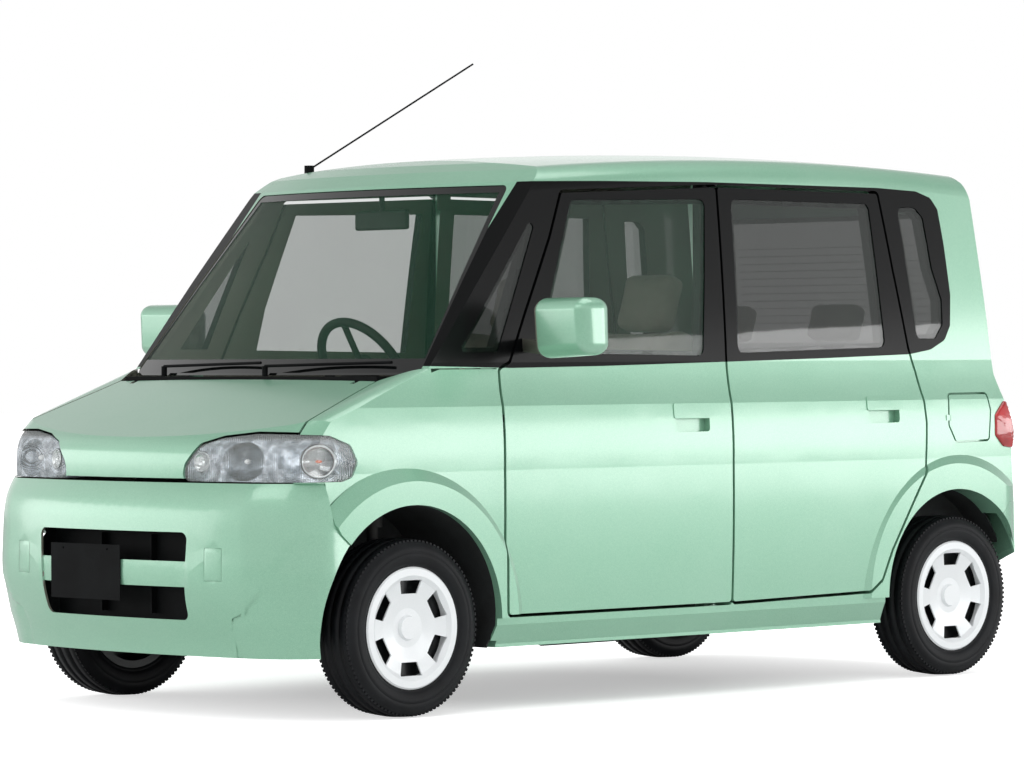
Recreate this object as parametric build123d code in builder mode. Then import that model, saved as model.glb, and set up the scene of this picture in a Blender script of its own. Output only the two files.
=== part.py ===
from build123d import *
import os
from math import cos, radians, sin, tan

os.makedirs("parts", exist_ok=True)

# The car faces -Y with its left side at +X. The origin is on the ground in the middle of its length.

# Driving dimensions, in millimetres
overall_length = 3395
overall_width = 1475
roof_height = 1725
wheelbase = 2440
front_overhang = 577
floor_height = 190
tyre_radius = 266
tyre_width = 157
front_track = 1300
rear_track = 1290

half_width = overall_width / 2
front_end = -overall_length / 2
rear_end = overall_length / 2
front_axle = front_end + front_overhang
rear_axle = front_axle + wheelbase

# Long curves of the body
side_bow_radius = 40000
side_bow_middle_share = 0.06
roof_bow_radius = 14000
roof_bow_middle_share = 0.177
roof_crown_radius = 5600
roof_edge_radius = 80
screen_bow_radius = 2631
rear_bow_radius = 4600
nose_bow_radius = 2600
bumper_corner_radius = 245
hook_groove = 2
shoulder_radius = 95
shoulder_crown = 8
fender_slope = 20
tube_y_shares = (-0.52, 0.06, 0.52)
screen_sweep = 24
tail_sweep = 14
overrun = 60

# Wall thicknesses and gaps
door_depth = 70
frame_depth = 38
roof_depth = 34
screen_frame_depth = 30
rear_depth = 45
skin = 8
glass = 5
glass_sink = 3
rebate = 14
glass_play = 1
panel_gap = 7
door_gap = 10
seam = 0.8
fit = 0.5
clearance = 12
play = 0.3

# Body side section: half width shares and height shares, from the sill up
foot_share = (0.945, 0.116)
sill_share = (0.985, 0.150)
flank_middle_share = (0.9965, 0.270)
flank_top_share = (0.9990, 0.420)
shoulder_middle_share = (0.9975, 0.480)
shoulder_share = (0.988, 0.532)
waist_middle_share = (0.968, 0.572)
waist_share = (0.958, 0.608)
window_middle_share = (0.936, 0.765)
rail_share = (0.902, 0.928)


def upward(share):
    return share * roof_height


def lengthwise(share):
    return share * overall_length


def side_points(shares):
    """Places seen from the side: length and height."""
    return [(y * overall_length, z * roof_height) for y, z in shares]


def front_points(shares):
    """Places seen from the front: half width and height."""
    return [(x * half_width, z * roof_height) for x, z in shares]


def plan_points(shares):
    """Places seen from above: half width and length."""
    return [(x * half_width, y * overall_length) for x, y in shares]


def tube(low_inset, high_inset, roof_inset, foot, corner):
    """Sides and roof as one long tube through three cross sections, its walls moved in by the insets."""
    with BuildPart() as block:
        for y_share in tube_y_shares:
            y = lengthwise(y_share)
            bow = (y - lengthwise(side_bow_middle_share)) ** 2 / (2 * side_bow_radius)
            crest = roof_height - roof_inset - (y - lengthwise(roof_bow_middle_share)) ** 2 / (2 * roof_bow_radius)
            edge_z = crest - (rail_share[0] * half_width) ** 2 / (2 * roof_crown_radius)
            low = [(x * half_width - bow - low_inset, upward(z)) for x, z in (
                foot_share, sill_share, flank_middle_share, flank_top_share, shoulder_middle_share, shoulder_share,
                waist_middle_share, waist_share)]
            (xa, za), (xb, zb), (xc, zc) = [(x * half_width - bow - high_inset, upward(z)) for x, z in (
                waist_share, window_middle_share, rail_share)]
            high = [(xa * (z - zb) * (z - zc) / ((za - zb) * (za - zc))
                     + xb * (z - za) * (z - zc) / ((zb - za) * (zb - zc))
                     + xc * (z - za) * (z - zb) / ((zc - za) * (zc - zb)), z)
                    for z in (za, (za + edge_z) / 2, edge_z)]
            with BuildSketch(Plane.XZ.offset(-y)) as section:
                with BuildLine():
                    Polyline((0, foot), (low[0][0], foot), low[0], low[1])
                    ThreePointArc(*low[1:4])
                    ThreePointArc(*low[3:6])
                    ThreePointArc(*low[5:8])
                    if high_inset != low_inset:
                        Line(low[7], high[0])
                    ThreePointArc(*high)
                    mirror(about=Plane.YZ)
                    ThreePointArc(high[2], (0, crest), (-high[2][0], high[2][1]))
                make_face()
                fillet(section.vertices().sort_by(Axis.Y)[-2:], radius=corner)
        loft()
    return block.part


def bow_cut(centre_y, outline, facing, sweep):
    """A cutter beyond an upright profile that is turned about an upright axis on the centre line."""
    turn = radians(sweep)
    start = Plane(
        origin=(0, centre_y, 0),
        x_dir=(sin(turn) * facing, cos(turn) * facing, 0),
        z_dir=(cos(turn) * facing, -sin(turn) * facing, 0),
    )
    radii = [((y - centre_y) * facing, z) for y, z in outline]
    far = max(r for r, z in radii) + overall_length / 2
    top = 1.2 * roof_height
    with BuildPart() as cutter:
        with BuildSketch(start):
            with BuildLine():
                Polyline((radii[0][0], -overrun), *radii, (radii[-1][0], top), (far, top), (far, -overrun),
                         (radii[0][0], -overrun))
            make_face()
        revolve(axis=Axis((0, centre_y, 0), (0, 0, 1)), revolution_arc=2 * sweep)
    return cutter.part


# Upright profiles on the centre line: length and height
screen_shares = [
    (-0.334, 0.5797), (-0.3311, 0.5913), (-0.2633, 0.7594), (-0.1929, 0.9281), (-0.1767, 0.9507),
    (-0.1591, 0.9658), (-0.1296, 0.9797),
]
tail_shares = [
    (0.4984, 0.1159), (0.5, 0.2435), (0.4978, 0.3333), (0.4954, 0.3913), (0.4937, 0.4696), (0.4866, 0.5246),
    (0.4748, 0.5797), (0.4683, 0.6846), (0.4601, 0.8023), (0.4524, 0.9183), (0.4462, 0.9507),
    (0.4359, 0.9716),
]
bumper_shares = [
    (-0.4778, 0.0696), (-0.4845, 0.1217), (-0.4913, 0.1664), (-0.5, 0.2435), (-0.499, 0.3246),
    (-0.4943, 0.3826), (-0.4872, 0.4075), (-0.4786, 0.4319),
]
bumper_plans = (
    (0.965, 0.96), (0.982, 0.98), (0.992, 1.0), (0.998, 1.0), (0.990, 0.98), (0.967, 0.90), (0.953, 0.84), (0.935, 0.78))
nose_shares = [
    (-0.4834, 0.0522), (-0.4834, 0.1275), (-0.4834, 0.2029), (-0.4834, 0.2725), (-0.4834, 0.3304),
    (-0.4834, 0.3768), (-0.4837, 0.4145), (-0.4837, 0.4435), (-0.4819, 0.4649), (-0.4772, 0.4806),
    (-0.4695, 0.4933), (-0.4595, 0.5078), (-0.4462, 0.5252), (-0.4315, 0.5449), (-0.4153, 0.5681),
    (-0.3991, 0.5925), (-0.3829, 0.618),
]
nose_plans = 8 * ((0.957, 0.78),) + (
    (0.958, 0.78), (0.959, 0.75), (0.960, 0.69), (0.962, 0.60), (0.965, 0.48), (0.970, 0.38), (0.977, 0.30), (0.985, 0.24),
    (0.993, 0.20))
nose_splay = 150


def inward(outline, inset, facing):
    return [(y - inset * facing, z) for y, z in outline]


def cabin_block(low_inset, high_inset, screen_inset, tail_inset, roof_inset, foot):
    """The closed form from the windscreen to the tail, its skin moved in by the insets."""
    screen = inward(side_points(screen_shares), screen_inset, -1)
    tail = inward(side_points(tail_shares), tail_inset, 1)
    with BuildPart() as block:
        add(tube(low_inset, high_inset, roof_inset, foot, roof_edge_radius - high_inset))
        add(bow_cut(side_points(screen_shares)[1][0] + screen_bow_radius, screen, -1, screen_sweep),
            mode=Mode.SUBTRACT)
        add(bow_cut(rear_end - rear_bow_radius, tail, 1, tail_sweep), mode=Mode.SUBTRACT)
    return block.part


def front_block(shares, plans, splay, inset, foot):
    """The front as a loft through level outlines: a bowed face, round corners and sides that may splay."""
    levels = []
    for (y, z), (half_share, corner_share) in zip(inward(side_points(shares), inset, -1), plans):
        half = half_share * half_width - inset
        face_y = y + half**2 / (2 * nose_bow_radius)
        with BuildSketch(Plane.XY.offset(z)) as level:
            with BuildLine():
                ThreePointArc((-half, face_y), (0, y), (half, face_y))
                Polyline((half, face_y), (half + splay, 0), (-half - splay, 0), (-half, face_y))
            make_face()
            fillet(level.vertices().sort_by(Axis.Y)[:2], radius=corner_share * bumper_corner_radius - inset)
        levels.append(level.sketch)
    limits = Pos(0, 0, foot) * Box(overall_width, 2 * overall_length, roof_height,
                                   align=(Align.CENTER, Align.CENTER, Align.MIN))
    return loft(levels) & limits


def nose_block(inset, foot):
    """The closed form of the front, under fenders that slope down to the nose."""
    corner = half_width - inset
    rise = radians(fender_slope)
    crest_y, crest_z = side_points([(-0.4271, 0.5177)])[0]
    start_y = front_end - overrun
    start_z = crest_z + (start_y - crest_y) * tan(rise) - inset
    front = front_block(nose_shares, nose_plans, nose_splay, inset, foot)
    with BuildPart() as block:
        add(tube(inset, inset, inset, foot, roof_edge_radius - inset))
        with BuildSketch(Plane.XZ.offset(-start_y)) as section:
            with BuildLine():
                ThreePointArc((-corner, start_z - shoulder_crown), (0, start_z), (corner, start_z - shoulder_crown))
                Polyline((corner, start_z - shoulder_crown), (corner, -roof_height), (-corner, -roof_height),
                         (-corner, start_z - shoulder_crown))
            make_face()
            fillet(section.vertices().sort_by(Axis.Y)[-2:], radius=shoulder_radius - inset)
        extrude(amount=overall_length / 2, dir=(0, cos(rise), sin(rise)), mode=Mode.INTERSECT)
        add(front, mode=Mode.INTERSECT)
    return block.part


def region(plane, points, start, end, grow, corner):
    """A prism over an outline on one of the main planes, grown or shrunk all round."""
    with BuildPart() as prism:
        with BuildSketch(plane.offset(start)) as sketch:
            with BuildLine():
                Polyline(*points, close=True)
            make_face()
            if corner:
                fillet(sketch.vertices(), radius=corner)
            if grow:
                offset(amount=grow, kind=Kind.INTERSECTION)
        extrude(amount=end - start)
    return prism.part


def side_region(shares, grow=0, corner=0, start=0, end=overall_width):
    return region(Plane.YZ, side_points(shares), start, end, grow, corner)


def front_region(shares, start_y, end_y, grow=0, corner=0):
    return region(Plane.XZ, front_points(shares), -end_y, -start_y, grow, corner)


def plan_region(shares, start_z, end_z, grow=0, corner=0):
    return region(Plane.XY, plan_points(shares), start_z, end_z, grow, corner)


def finish(part, name):
    part.label = name
    export_step(part, f"parts/{name}.step")



# Outlines on the body side
front_door_shares = [
    (-0.2194, 0.1652), (-0.2194, 0.5548), (-0.2186, 0.5965), (-0.205, 0.6087), (-0.1844, 0.6939),
    (-0.149, 0.8296), (-0.1311, 0.9113), (0.0707, 0.9299), (0.0707, 0.1652),
]
rear_door_shares = [
    (0.0707, 0.1652), (0.0707, 0.9299), (0.2981, 0.9275), (0.3128, 0.7797), (0.3299, 0.6319),
    (0.3387, 0.5855), (0.3455, 0.5275), (0.3473, 0.4881), (0.3449, 0.4), (0.324, 0.3414), (0.2919, 0.2481),
    (0.2775, 0.1925), (0.2607, 0.171),
]
front_glass_shares = [
    (-0.1193, 0.8957), (-0.1543, 0.713), (-0.1649, 0.6243), (0.0401, 0.6186), (0.0536, 0.9043),
]
rear_glass_shares = [
    (0.089, 0.9055), (0.0872, 0.6232), (0.296, 0.633), (0.2831, 0.9043),
]
front_quarter_shares = [
    (-0.1564, 0.8957), (-0.2651, 0.6261), (-0.2194, 0.6261),
]
rear_quarter_shares = [
    (0.3255, 0.8997), (0.3523, 0.8997), (0.3635, 0.8812), (0.372, 0.7849), (0.3844, 0.7235),
    (0.3838, 0.6754), (0.3717, 0.6493), (0.344, 0.6493),
]
fuel_lid_shares = [
    (0.3832, 0.5426), (0.4424, 0.5432), (0.4468, 0.5101), (0.4424, 0.4522), (0.3912, 0.4499),
    (0.3809, 0.4829),
]
bumper_gap_shares = [
    (-0.5596, 0.0696), (-0.5596, 0.4058), (-0.4259, 0.4058), (-0.4236, 0.378), (-0.4215, 0.3362),
    (-0.4159, 0.3188), (-0.4056, 0.3014), (-0.3829, 0.2435), (-0.3829, 0.0696),
]
rear_bumper_gap_shares = [
    (0.5596, 0.0696), (0.5596, 0.3316), (0.4683, 0.3316), (0.4418, 0.2783), (0.4418, 0.0696),
]
lamp_side_shares = [
    (-0.5596, 0.4081), (-0.5596, 0.4904), (-0.4542, 0.4893), (-0.4203, 0.4858), (-0.3973, 0.4696),
    (-0.3894, 0.4406), (-0.3953, 0.4151), (-0.4065, 0.4081),
]
lamp_front_shares = [
    (0.3783, 0.4081), (0.3919, 0.4354), (0.461, 0.4696), (0.56, 0.4823), (0.7593, 0.4916), (1.0847, 0.4928),
    (1.0847, 0.4081),
]
tail_lamp_side_shares = [
    (0.5596, 0.5304), (0.4677, 0.5275), (0.453, 0.5003), (0.4521, 0.4614), (0.4645, 0.4394),
    (0.4804, 0.4354), (0.5596, 0.4336),
]
tail_lamp_rear_shares = [
    (0.8434, 0.4319), (0.8434, 0.4812), (0.8461, 0.5322), (1.0847, 0.5322), (1.0847, 0.4319),
]
bonnet_shares = [
    (0.8868, -0.5596), (0.8868, -0.4477), (0.8719, -0.4271), (0.8285, -0.3682), (0.8136, -0.3405),
    (-0.8136, -0.3405), (-0.8285, -0.3682), (-0.8719, -0.4271), (-0.8868, -0.4477), (-0.8868, -0.5596),
]
bonnet_side_shares = [
    (-0.5596, 0.4128), (-0.5596, 0.6667), (-0.2946, 0.6667), (-0.2946, 0.4128),
]
cowl_shares = [
    (0.8027, -0.3367), (0.8678, -0.3122), (0.9058, -0.2975), (0.7593, -0.2651), (-0.7593, -0.2651),
    (-0.9058, -0.2975), (-0.8678, -0.3122), (-0.8027, -0.3367),
]
fender_shares = [
    (-0.5596, 0.087), (-0.5596, 0.6667), (-0.3328, 0.6667), (-0.2981, 0.5965), (-0.2212, 0.5965),
    (-0.2212, 0.087),
]
fender_clear_shares = [
    (-0.5596, 0.058), (-0.5596, 0.5983), (-0.2212, 0.5983), (-0.2212, 0.058),
]
scuttle_plan_shares = [
    (0.8136, -0.3417), (0.8881, -0.3152), (0.9356, -0.2981), (0.9356, -0.1473), (-0.9356, -0.1473),
    (-0.9356, -0.2981), (-0.8881, -0.3152), (-0.8136, -0.3417),
]
screen_front_shares = [
    (-0.9058, 0.5872), (-0.7837, 0.9217), (0.7837, 0.9217), (0.9058, 0.5872),
]
tailgate_shares = [
    (-0.8, 0.3345), (-0.819, 0.429), (-0.8298, 0.5391), (-0.8298, 0.6145), (-0.7756, 0.9275),
    (-0.7186, 0.9507), (-0.7186, 1.0435), (0.7186, 1.0435), (0.7186, 0.9507), (0.7756, 0.9275),
    (0.8298, 0.6145), (0.8298, 0.5391), (0.819, 0.429), (0.8, 0.3345),
]
tail_glass_shares = [
    (-0.739, 0.6203), (-0.678, 0.9043), (0.678, 0.9043), (0.739, 0.6203),
]
roof_shares = [
    (-0.8027, -0.2239), (0.8027, -0.2239), (0.8027, 0.4244), (-0.8027, 0.4244),
]
grille_shares = [
    (-0.4488, 0.1722), (-0.4705, 0.3223), (0.4705, 0.3223), (0.4488, 0.1722),
]

# Places on the body
arch_radius = 350
front_arch_height = 280
rear_arch_radius = 346
rear_arch_height = 275
flare_foot_radius = 470
flare_rim_radius = 410
flare_rear_corner_radius = 150
flare_depth = 36
flare_root = 8
roof_end_y_share = 0.4245
tailgate_start_gap = 15
shelf_top_share = 0.566
cowl_top_share = 0.585
corner_radius = 24
lamp_corner_radius = 22
door_corner_radius = 16


def wheel_cylinder(axle_y, height, radius, inner_x, outer_x):
    with BuildPart() as roll:
        with BuildSketch(Plane.YZ.offset(inner_x)):
            with Locations((axle_y, height)):
                Circle(radius)
        extrude(amount=outer_x - inner_x)
    return roll.part


def flare(axle_y, height):
    """A ring that swells out of the body side round a wheel arch, to the full width of the car."""
    local_x = half_width - (axle_y - lengthwise(side_bow_middle_share)) ** 2 / (2 * side_bow_radius)
    with BuildPart() as ring:
        with Locations(Plane(origin=(local_x - flare_root, axle_y, height), z_dir=(1, 0, 0))):
            Cone(flare_foot_radius, flare_rim_radius, flare_depth,
                 align=(Align.CENTER, Align.CENTER, Align.MIN))
        with BuildSketch(Plane.XY.offset(height)) as limits:
            Rectangle(overall_width, overall_length)
            fillet(limits.vertices().group_by(Axis.Y)[0], radius=bumper_corner_radius)
            fillet(limits.vertices().group_by(Axis.Y)[-1], radius=flare_rear_corner_radius)
        extrude(amount=roof_height, mode=Mode.INTERSECT)
    return ring.part


def main_solid(part):
    """The largest solid of a cut panel, without the slivers beside it."""
    return part.solids().sort_by(SortBy.VOLUME)[-1]


def both_sides(part):
    with BuildPart() as pair:
        add(part)
        mirror(objects=part, about=Plane.YZ)
    return pair.part


# Closed forms that every panel is cut from
flares = flare(front_axle, front_arch_height) + flare(rear_axle, rear_arch_height)
cabin_form = cabin_block(0, 0, 0, 0, 0, floor_height)
cabin_glass_form = cabin_block(glass_sink, glass_sink, glass_sink, glass_sink, glass_sink, floor_height - overrun)
glass_depth = glass_sink + glass
cabin_rebate_form = cabin_block(glass_depth, glass_depth, glass_depth, glass_depth, glass_depth,
                                floor_height - overrun)
cabin_room = cabin_block(door_depth, frame_depth, screen_frame_depth, rear_depth, roof_depth, floor_height - overrun)
nose_form = nose_block(0, floor_height)
nose_room = nose_block(skin, floor_height - overrun)
bumper_form = front_block(bumper_shares, bumper_plans, 0, 0, floor_height)
bumper_room = front_block(bumper_shares, bumper_plans, 0, skin, floor_height - overrun)
hook_groove_floor = front_block(bumper_shares, bumper_plans, 0, hook_groove, floor_height - overrun)

left_half = side_region([(-1, -1), (-1, 2), (1, 2), (1, -1)], start=0, end=overall_width)
arch_cuts = wheel_cylinder(front_axle, front_arch_height, arch_radius, half_width / 2, overall_width) + wheel_cylinder(
    rear_axle, rear_arch_height, rear_arch_radius, half_width / 2, overall_width)

with BuildPart() as cabin_shell:
    add(cabin_form)
    add(flares)
    add(cabin_room, mode=Mode.SUBTRACT)
    add(left_half, mode=Mode.INTERSECT)
    add(arch_cuts, mode=Mode.SUBTRACT)


# Door hinges: an upright pin line behind each door's front edge, met by arms from the post inside
hinge_inset = 20
hinge_back = 46
hinge_radius = 7
hinge_half = 12
hinge_pocket_half = 36
hinge_skin = 9
front_hinge_arm_reach = 58
rear_hinge_arm_reach = 88
hinge_arm_half = 6
hinge_heights_share = (0.262, 0.496)
door_hinge_flank_share = 0.9985


def hinge_place(front_y):
    """The pin line of a door whose gap lies at this length."""
    y = front_y + door_gap / 2 + hinge_back
    bow = (y - lengthwise(side_bow_middle_share)) ** 2 / (2 * side_bow_radius)
    return door_hinge_flank_share * half_width - bow - hinge_inset, y


def hinge_pockets(front_y):
    """Room inside a door's front edge for its hinges."""
    x, y = hinge_place(front_y)
    with BuildPart() as pockets:
        for share in hinge_heights_share:
            with Locations((x + hinge_inset - hinge_skin, y + 2 * hinge_radius, upward(share))):
                Box(overall_width, hinge_back * 2 + overrun, 2 * hinge_pocket_half,
                    align=(Align.MAX, Align.MAX, Align.CENTER))
    return pockets.part


def door_knuckles(front_y):
    """Hinge barrels that hang from the roof of each pocket onto the body's barrels."""
    x, y = hinge_place(front_y)
    with BuildPart() as knuckles:
        for share in hinge_heights_share:
            with Locations((x, y, upward(share) + hinge_half + play)):
                Cylinder(hinge_radius, hinge_pocket_half, align=(Align.CENTER, Align.CENTER, Align.MIN))
    return knuckles.part


def body_hinges(front_y, post_y, reach):
    """Barrels on bent arms that reach the pin line from inside."""
    x, y = hinge_place(front_y)
    with BuildPart() as arms:
        for share in hinge_heights_share:
            z = upward(share)
            with Locations((x, y, z)):
                Cylinder(hinge_radius, 2 * hinge_half)
                Box(reach, 2 * hinge_arm_half, 2 * hinge_half - 2 * play,
                    align=(Align.MAX, Align.CENTER, Align.CENTER))
            with Locations((x - reach, y + hinge_arm_half, z)):
                Box(2 * hinge_arm_half, y + hinge_arm_half - post_y, 2 * hinge_half - 2 * play,
                    align=(Align.MIN, Align.MAX, Align.CENTER))
    return arms.part


def windowed(part, shares, corner=corner_radius):
    """Cuts a window through a panel, with a rebate for its glass."""
    with BuildPart() as panel:
        add(part)
        add(side_region(shares, -rebate, corner / 2), mode=Mode.SUBTRACT)
        add(side_region(shares, glass_play, corner) - cabin_rebate_form, mode=Mode.SUBTRACT)
    return panel.part


def pane(shares, corner=corner_radius):
    with BuildPart() as sheet:
        add(side_region(shares, 0, corner))
        add(cabin_glass_form, mode=Mode.INTERSECT)
        add(cabin_rebate_form, mode=Mode.SUBTRACT)
    return sheet.part



whole = -overall_width
lamp_block = (front_region(lamp_front_shares, front_end - overrun, front_axle, 0, lamp_corner_radius)
              & side_region(lamp_side_shares, 0, lamp_corner_radius))
lamp_hole = (front_region(lamp_front_shares, front_end - overrun, front_axle, seam, lamp_corner_radius)
             & side_region(lamp_side_shares, seam, lamp_corner_radius))
tail_lamp_block = front_region(tail_lamp_rear_shares, rear_axle, rear_end + overrun) & side_region(tail_lamp_side_shares)
tail_lamp_hole = (front_region(tail_lamp_rear_shares, rear_axle, rear_end + overrun, seam)
                  & side_region(tail_lamp_side_shares, seam))
screen_hole = front_region(screen_front_shares, front_end, front_axle + overall_length / 4, -rebate, corner_radius)
screen_bed = front_region(screen_front_shares, front_end, front_axle + overall_length / 4, glass_play,
                          corner_radius) - cabin_rebate_form
roof_band_low = upward(0.9044)
roof_prism = plan_region(roof_shares, roof_band_low, roof_height + overrun)
tailgate_top_y = lengthwise(roof_end_y_share) + tailgate_start_gap

# Body side: pillars, rail, sill and rear quarter
post_gap = 12
floor_thickness = 34
post_foot = floor_height + floor_thickness + seam
well_wall = 6
post_depth = 42
b_post_front_share = 0.0589
b_post_rear_share = 0.0772
sill_inner_share = 0.80
sill_top_share = 0.1594
hinge_post_front_share = -0.2371
hinge_post_rear_share = -0.2215


def upright(front_share, rear_share, top, first_inset, depth, high_inset):
    """An upright post that follows the body side at a depth behind the skin."""
    y0, y1 = lengthwise(front_share), lengthwise(rear_share)
    with BuildPart() as post:
        with BuildSketch(Plane.YZ):
            with Locations(((y0 + y1) / 2, (post_foot + top) / 2)):
                Rectangle(y1 - y0, top - post_foot)
        extrude(amount=overall_width)
        add(tube(first_inset, high_inset, 0, floor_height - overrun, roof_edge_radius - high_inset),
            mode=Mode.INTERSECT)
        add(tube(first_inset + depth, high_inset + depth, 0, floor_height - 2 * overrun,
                 roof_edge_radius - high_inset), mode=Mode.SUBTRACT)
    return post.part


flap_hinge_radius = 3
flap_hinge_half = 9
flap_y, flap_z = side_points([fuel_lid_shares[5]])[0]
flap_y = flap_y + panel_gap / 2 + flap_hinge_radius
flap_z = flap_z + clearance * 2
flap_x = (half_width - (flap_y - lengthwise(side_bow_middle_share)) ** 2 / (2 * side_bow_radius)
          - glass_depth / 2)
with BuildPart() as left_side:
    add(cabin_shell.part)
    add(side_region(front_door_shares, door_gap / 2, door_corner_radius), mode=Mode.SUBTRACT)
    add(side_region(rear_door_shares, door_gap / 2, door_corner_radius), mode=Mode.SUBTRACT)
    add(side_region(fender_clear_shares), mode=Mode.SUBTRACT)
    add(screen_hole, mode=Mode.SUBTRACT)
    add(screen_bed, mode=Mode.SUBTRACT)
    add(front_region(tailgate_shares, lengthwise(roof_end_y_share) - seam, rear_end + overrun, panel_gap),
        mode=Mode.SUBTRACT)
    add(side_region(rear_bumper_gap_shares, seam), mode=Mode.SUBTRACT)
    add(tail_lamp_hole, mode=Mode.SUBTRACT)
    add(side_region(fuel_lid_shares, panel_gap / 2, corner_radius / 2)
        - tube(glass_depth + clearance, glass_depth + clearance, 0, floor_height - overrun, roof_edge_radius / 2),
        mode=Mode.SUBTRACT)
    with BuildSketch(Plane.YZ.offset(sill_inner_share * half_width)):
        with Locations((lengthwise(0.0236), (floor_height + upward(sill_top_share)) / 2)):
            Rectangle(lengthwise(0.485), upward(sill_top_share) - floor_height)
    extrude(amount=half_width * (foot_share[0] - sill_inner_share) - clearance)
    add(upright(b_post_front_share, b_post_rear_share, roof_height * 0.972, door_depth + post_gap, post_depth,
                frame_depth + post_gap))
    add(roof_prism, mode=Mode.SUBTRACT)
    add(upright(hinge_post_front_share, hinge_post_rear_share, upward(0.603), clearance, door_depth, clearance)
        - wheel_cylinder(front_axle, front_arch_height, arch_radius + fit + well_wall + seam, 0, overall_width))
    with Locations((flap_x, flap_y, flap_z)):
        Cylinder(flap_hinge_radius, 2 * flap_hinge_half)
        Box(2 * flap_hinge_radius, clearance + panel_gap, 2 * flap_hinge_half,
            align=(Align.CENTER, Align.MAX, Align.CENTER))
    add(body_hinges(front_door_shares[0][0] * overall_length, lengthwise(hinge_post_rear_share) - clearance,
                     front_hinge_arm_reach))
    add(body_hinges(rear_door_shares[0][0] * overall_length, lengthwise(b_post_rear_share) - clearance,
                     rear_hinge_arm_reach))
left_body = windowed(windowed(main_solid(left_side.part), rear_quarter_shares), front_quarter_shares, corner_radius / 2)
finish(left_body, "body_side_left")
finish(mirror(objects=left_body, about=Plane.YZ, mode=Mode.PRIVATE), "body_side_right")

# Doors, each with a cup that a flap grip spans
handle_depth = 24
handle_proud = 3
handle_thickness = 11
front_cup_shares = [
    (-0.005, 0.4806), (-0.005, 0.5293), (0.0398, 0.5293), (0.0398, 0.4806),
]
front_grip_shares = [
    (-0.0071, 0.5049), (-0.0071, 0.5328), (0.0418, 0.5328), (0.0418, 0.5049),
]
rear_cup_shares = [
    (0.2619, 0.4899), (0.2619, 0.5362), (0.3072, 0.5362), (0.3072, 0.4899),
]
rear_grip_shares = [
    (0.2598, 0.5136), (0.2598, 0.5397), (0.3093, 0.5397), (0.3093, 0.5136),
]
cup_floor = tube(handle_depth, handle_depth, 0, floor_height - overrun, roof_edge_radius / 2)
grip_face = tube(-handle_proud, -handle_proud, 0, floor_height, roof_edge_radius)
grip_back = tube(handle_thickness, handle_thickness, 0, floor_height - overrun, roof_edge_radius / 2)
for name, shares, glass_shares, cup_shares, grip_shares in (
        ("front_door", front_door_shares, front_glass_shares, front_cup_shares, front_grip_shares),
        ("rear_door", rear_door_shares, rear_glass_shares, rear_cup_shares, rear_grip_shares)):
    blank = cabin_shell.part & side_region(shares, -door_gap / 2, door_corner_radius)
    front_y = shares[0][0] * overall_length
    door = windowed(main_solid(blank) - hinge_pockets(front_y) + door_knuckles(front_y), glass_shares)
    grip = (side_region(grip_shares, 0, corner_radius / 3) & grip_face) - grip_back
    door = main_solid(door - (side_region(cup_shares, 0, corner_radius / 2) - cup_floor) + grip)
    sheet = pane(glass_shares)
    for hand in ("left", "right"):
        finish(door if hand == "left" else mirror(objects=door, about=Plane.YZ, mode=Mode.PRIVATE), f"{name}_{hand}")
        finish(sheet if hand == "left" else mirror(objects=sheet, about=Plane.YZ, mode=Mode.PRIVATE),
               f"{name}_glass_{hand}")

# Fixed glass
with BuildPart() as windscreen:
    add(front_region(screen_front_shares, front_end, front_axle + overall_length / 4, 0, corner_radius))
    add(cabin_glass_form, mode=Mode.INTERSECT)
    add(cabin_rebate_form, mode=Mode.SUBTRACT)
    split(bisect_by=Plane.XZ.offset(-lengthwise(-0.12)), keep=Keep.TOP)
finish(windscreen.part, "windscreen")
finish(both_sides(pane(front_quarter_shares, corner_radius / 2) + pane(rear_quarter_shares)), "fixed_side_glass")

# Tailgate, with two hinges let into its front edge
lid_hinge_places_share = (-0.27, 0.27)
lid_hinge_back = 10
lid_hinge_depth = 16
lid_hinge_radius = 6
lid_hinge_half = 12
lid_hinge_y = tailgate_top_y + lid_hinge_back
lid_hinge_z = roof_height - (lid_hinge_y - lengthwise(roof_bow_middle_share)) ** 2 / (2 * roof_bow_radius) - lid_hinge_depth


def cross_hinge(x, y, z, radius, half, reach_y, drop):
    """A barrel across the car on a short arm that reaches forward or down."""
    with BuildPart() as arm:
        with Locations(Plane(origin=(x, y, z), x_dir=(0, 1, 0), z_dir=(1, 0, 0))):
            Cylinder(radius, 2 * half)
        with Locations((x, y, z)):
            if drop:
                Box(2 * half, 2 * radius, drop, align=(Align.CENTER, Align.CENTER, Align.MAX))
            else:
                Box(2 * half, y - reach_y, 2 * radius, align=(Align.CENTER, Align.MAX, Align.CENTER))
    return arm.part


with BuildPart() as tailgate:
    add(cabin_form)
    add(cabin_room, mode=Mode.SUBTRACT)
    add(front_region(tailgate_shares, tailgate_top_y, rear_end + overrun), mode=Mode.INTERSECT)
    add(front_region(tail_glass_shares, rear_axle, rear_end + overrun, -rebate, corner_radius / 2),
        mode=Mode.SUBTRACT)
    add(front_region(tail_glass_shares, rear_axle, rear_end + overrun, glass_play, corner_radius)
        - cabin_rebate_form, mode=Mode.SUBTRACT)
    for share in lid_hinge_places_share:
        with Locations((share * half_width, lid_hinge_y, roof_height)):
            Box(2 * (lid_hinge_half + play), 4 * lid_hinge_radius + clearance, roof_height / 4, mode=Mode.SUBTRACT)
finish(tailgate.part, "tailgate")
with BuildPart() as tailgate_glass:
    add(front_region(tail_glass_shares, rear_axle, rear_end + overrun, 0, corner_radius))
    add(cabin_glass_form, mode=Mode.INTERSECT)
    add(cabin_rebate_form, mode=Mode.SUBTRACT)
finish(tailgate_glass.part, "tailgate_glass")

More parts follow.
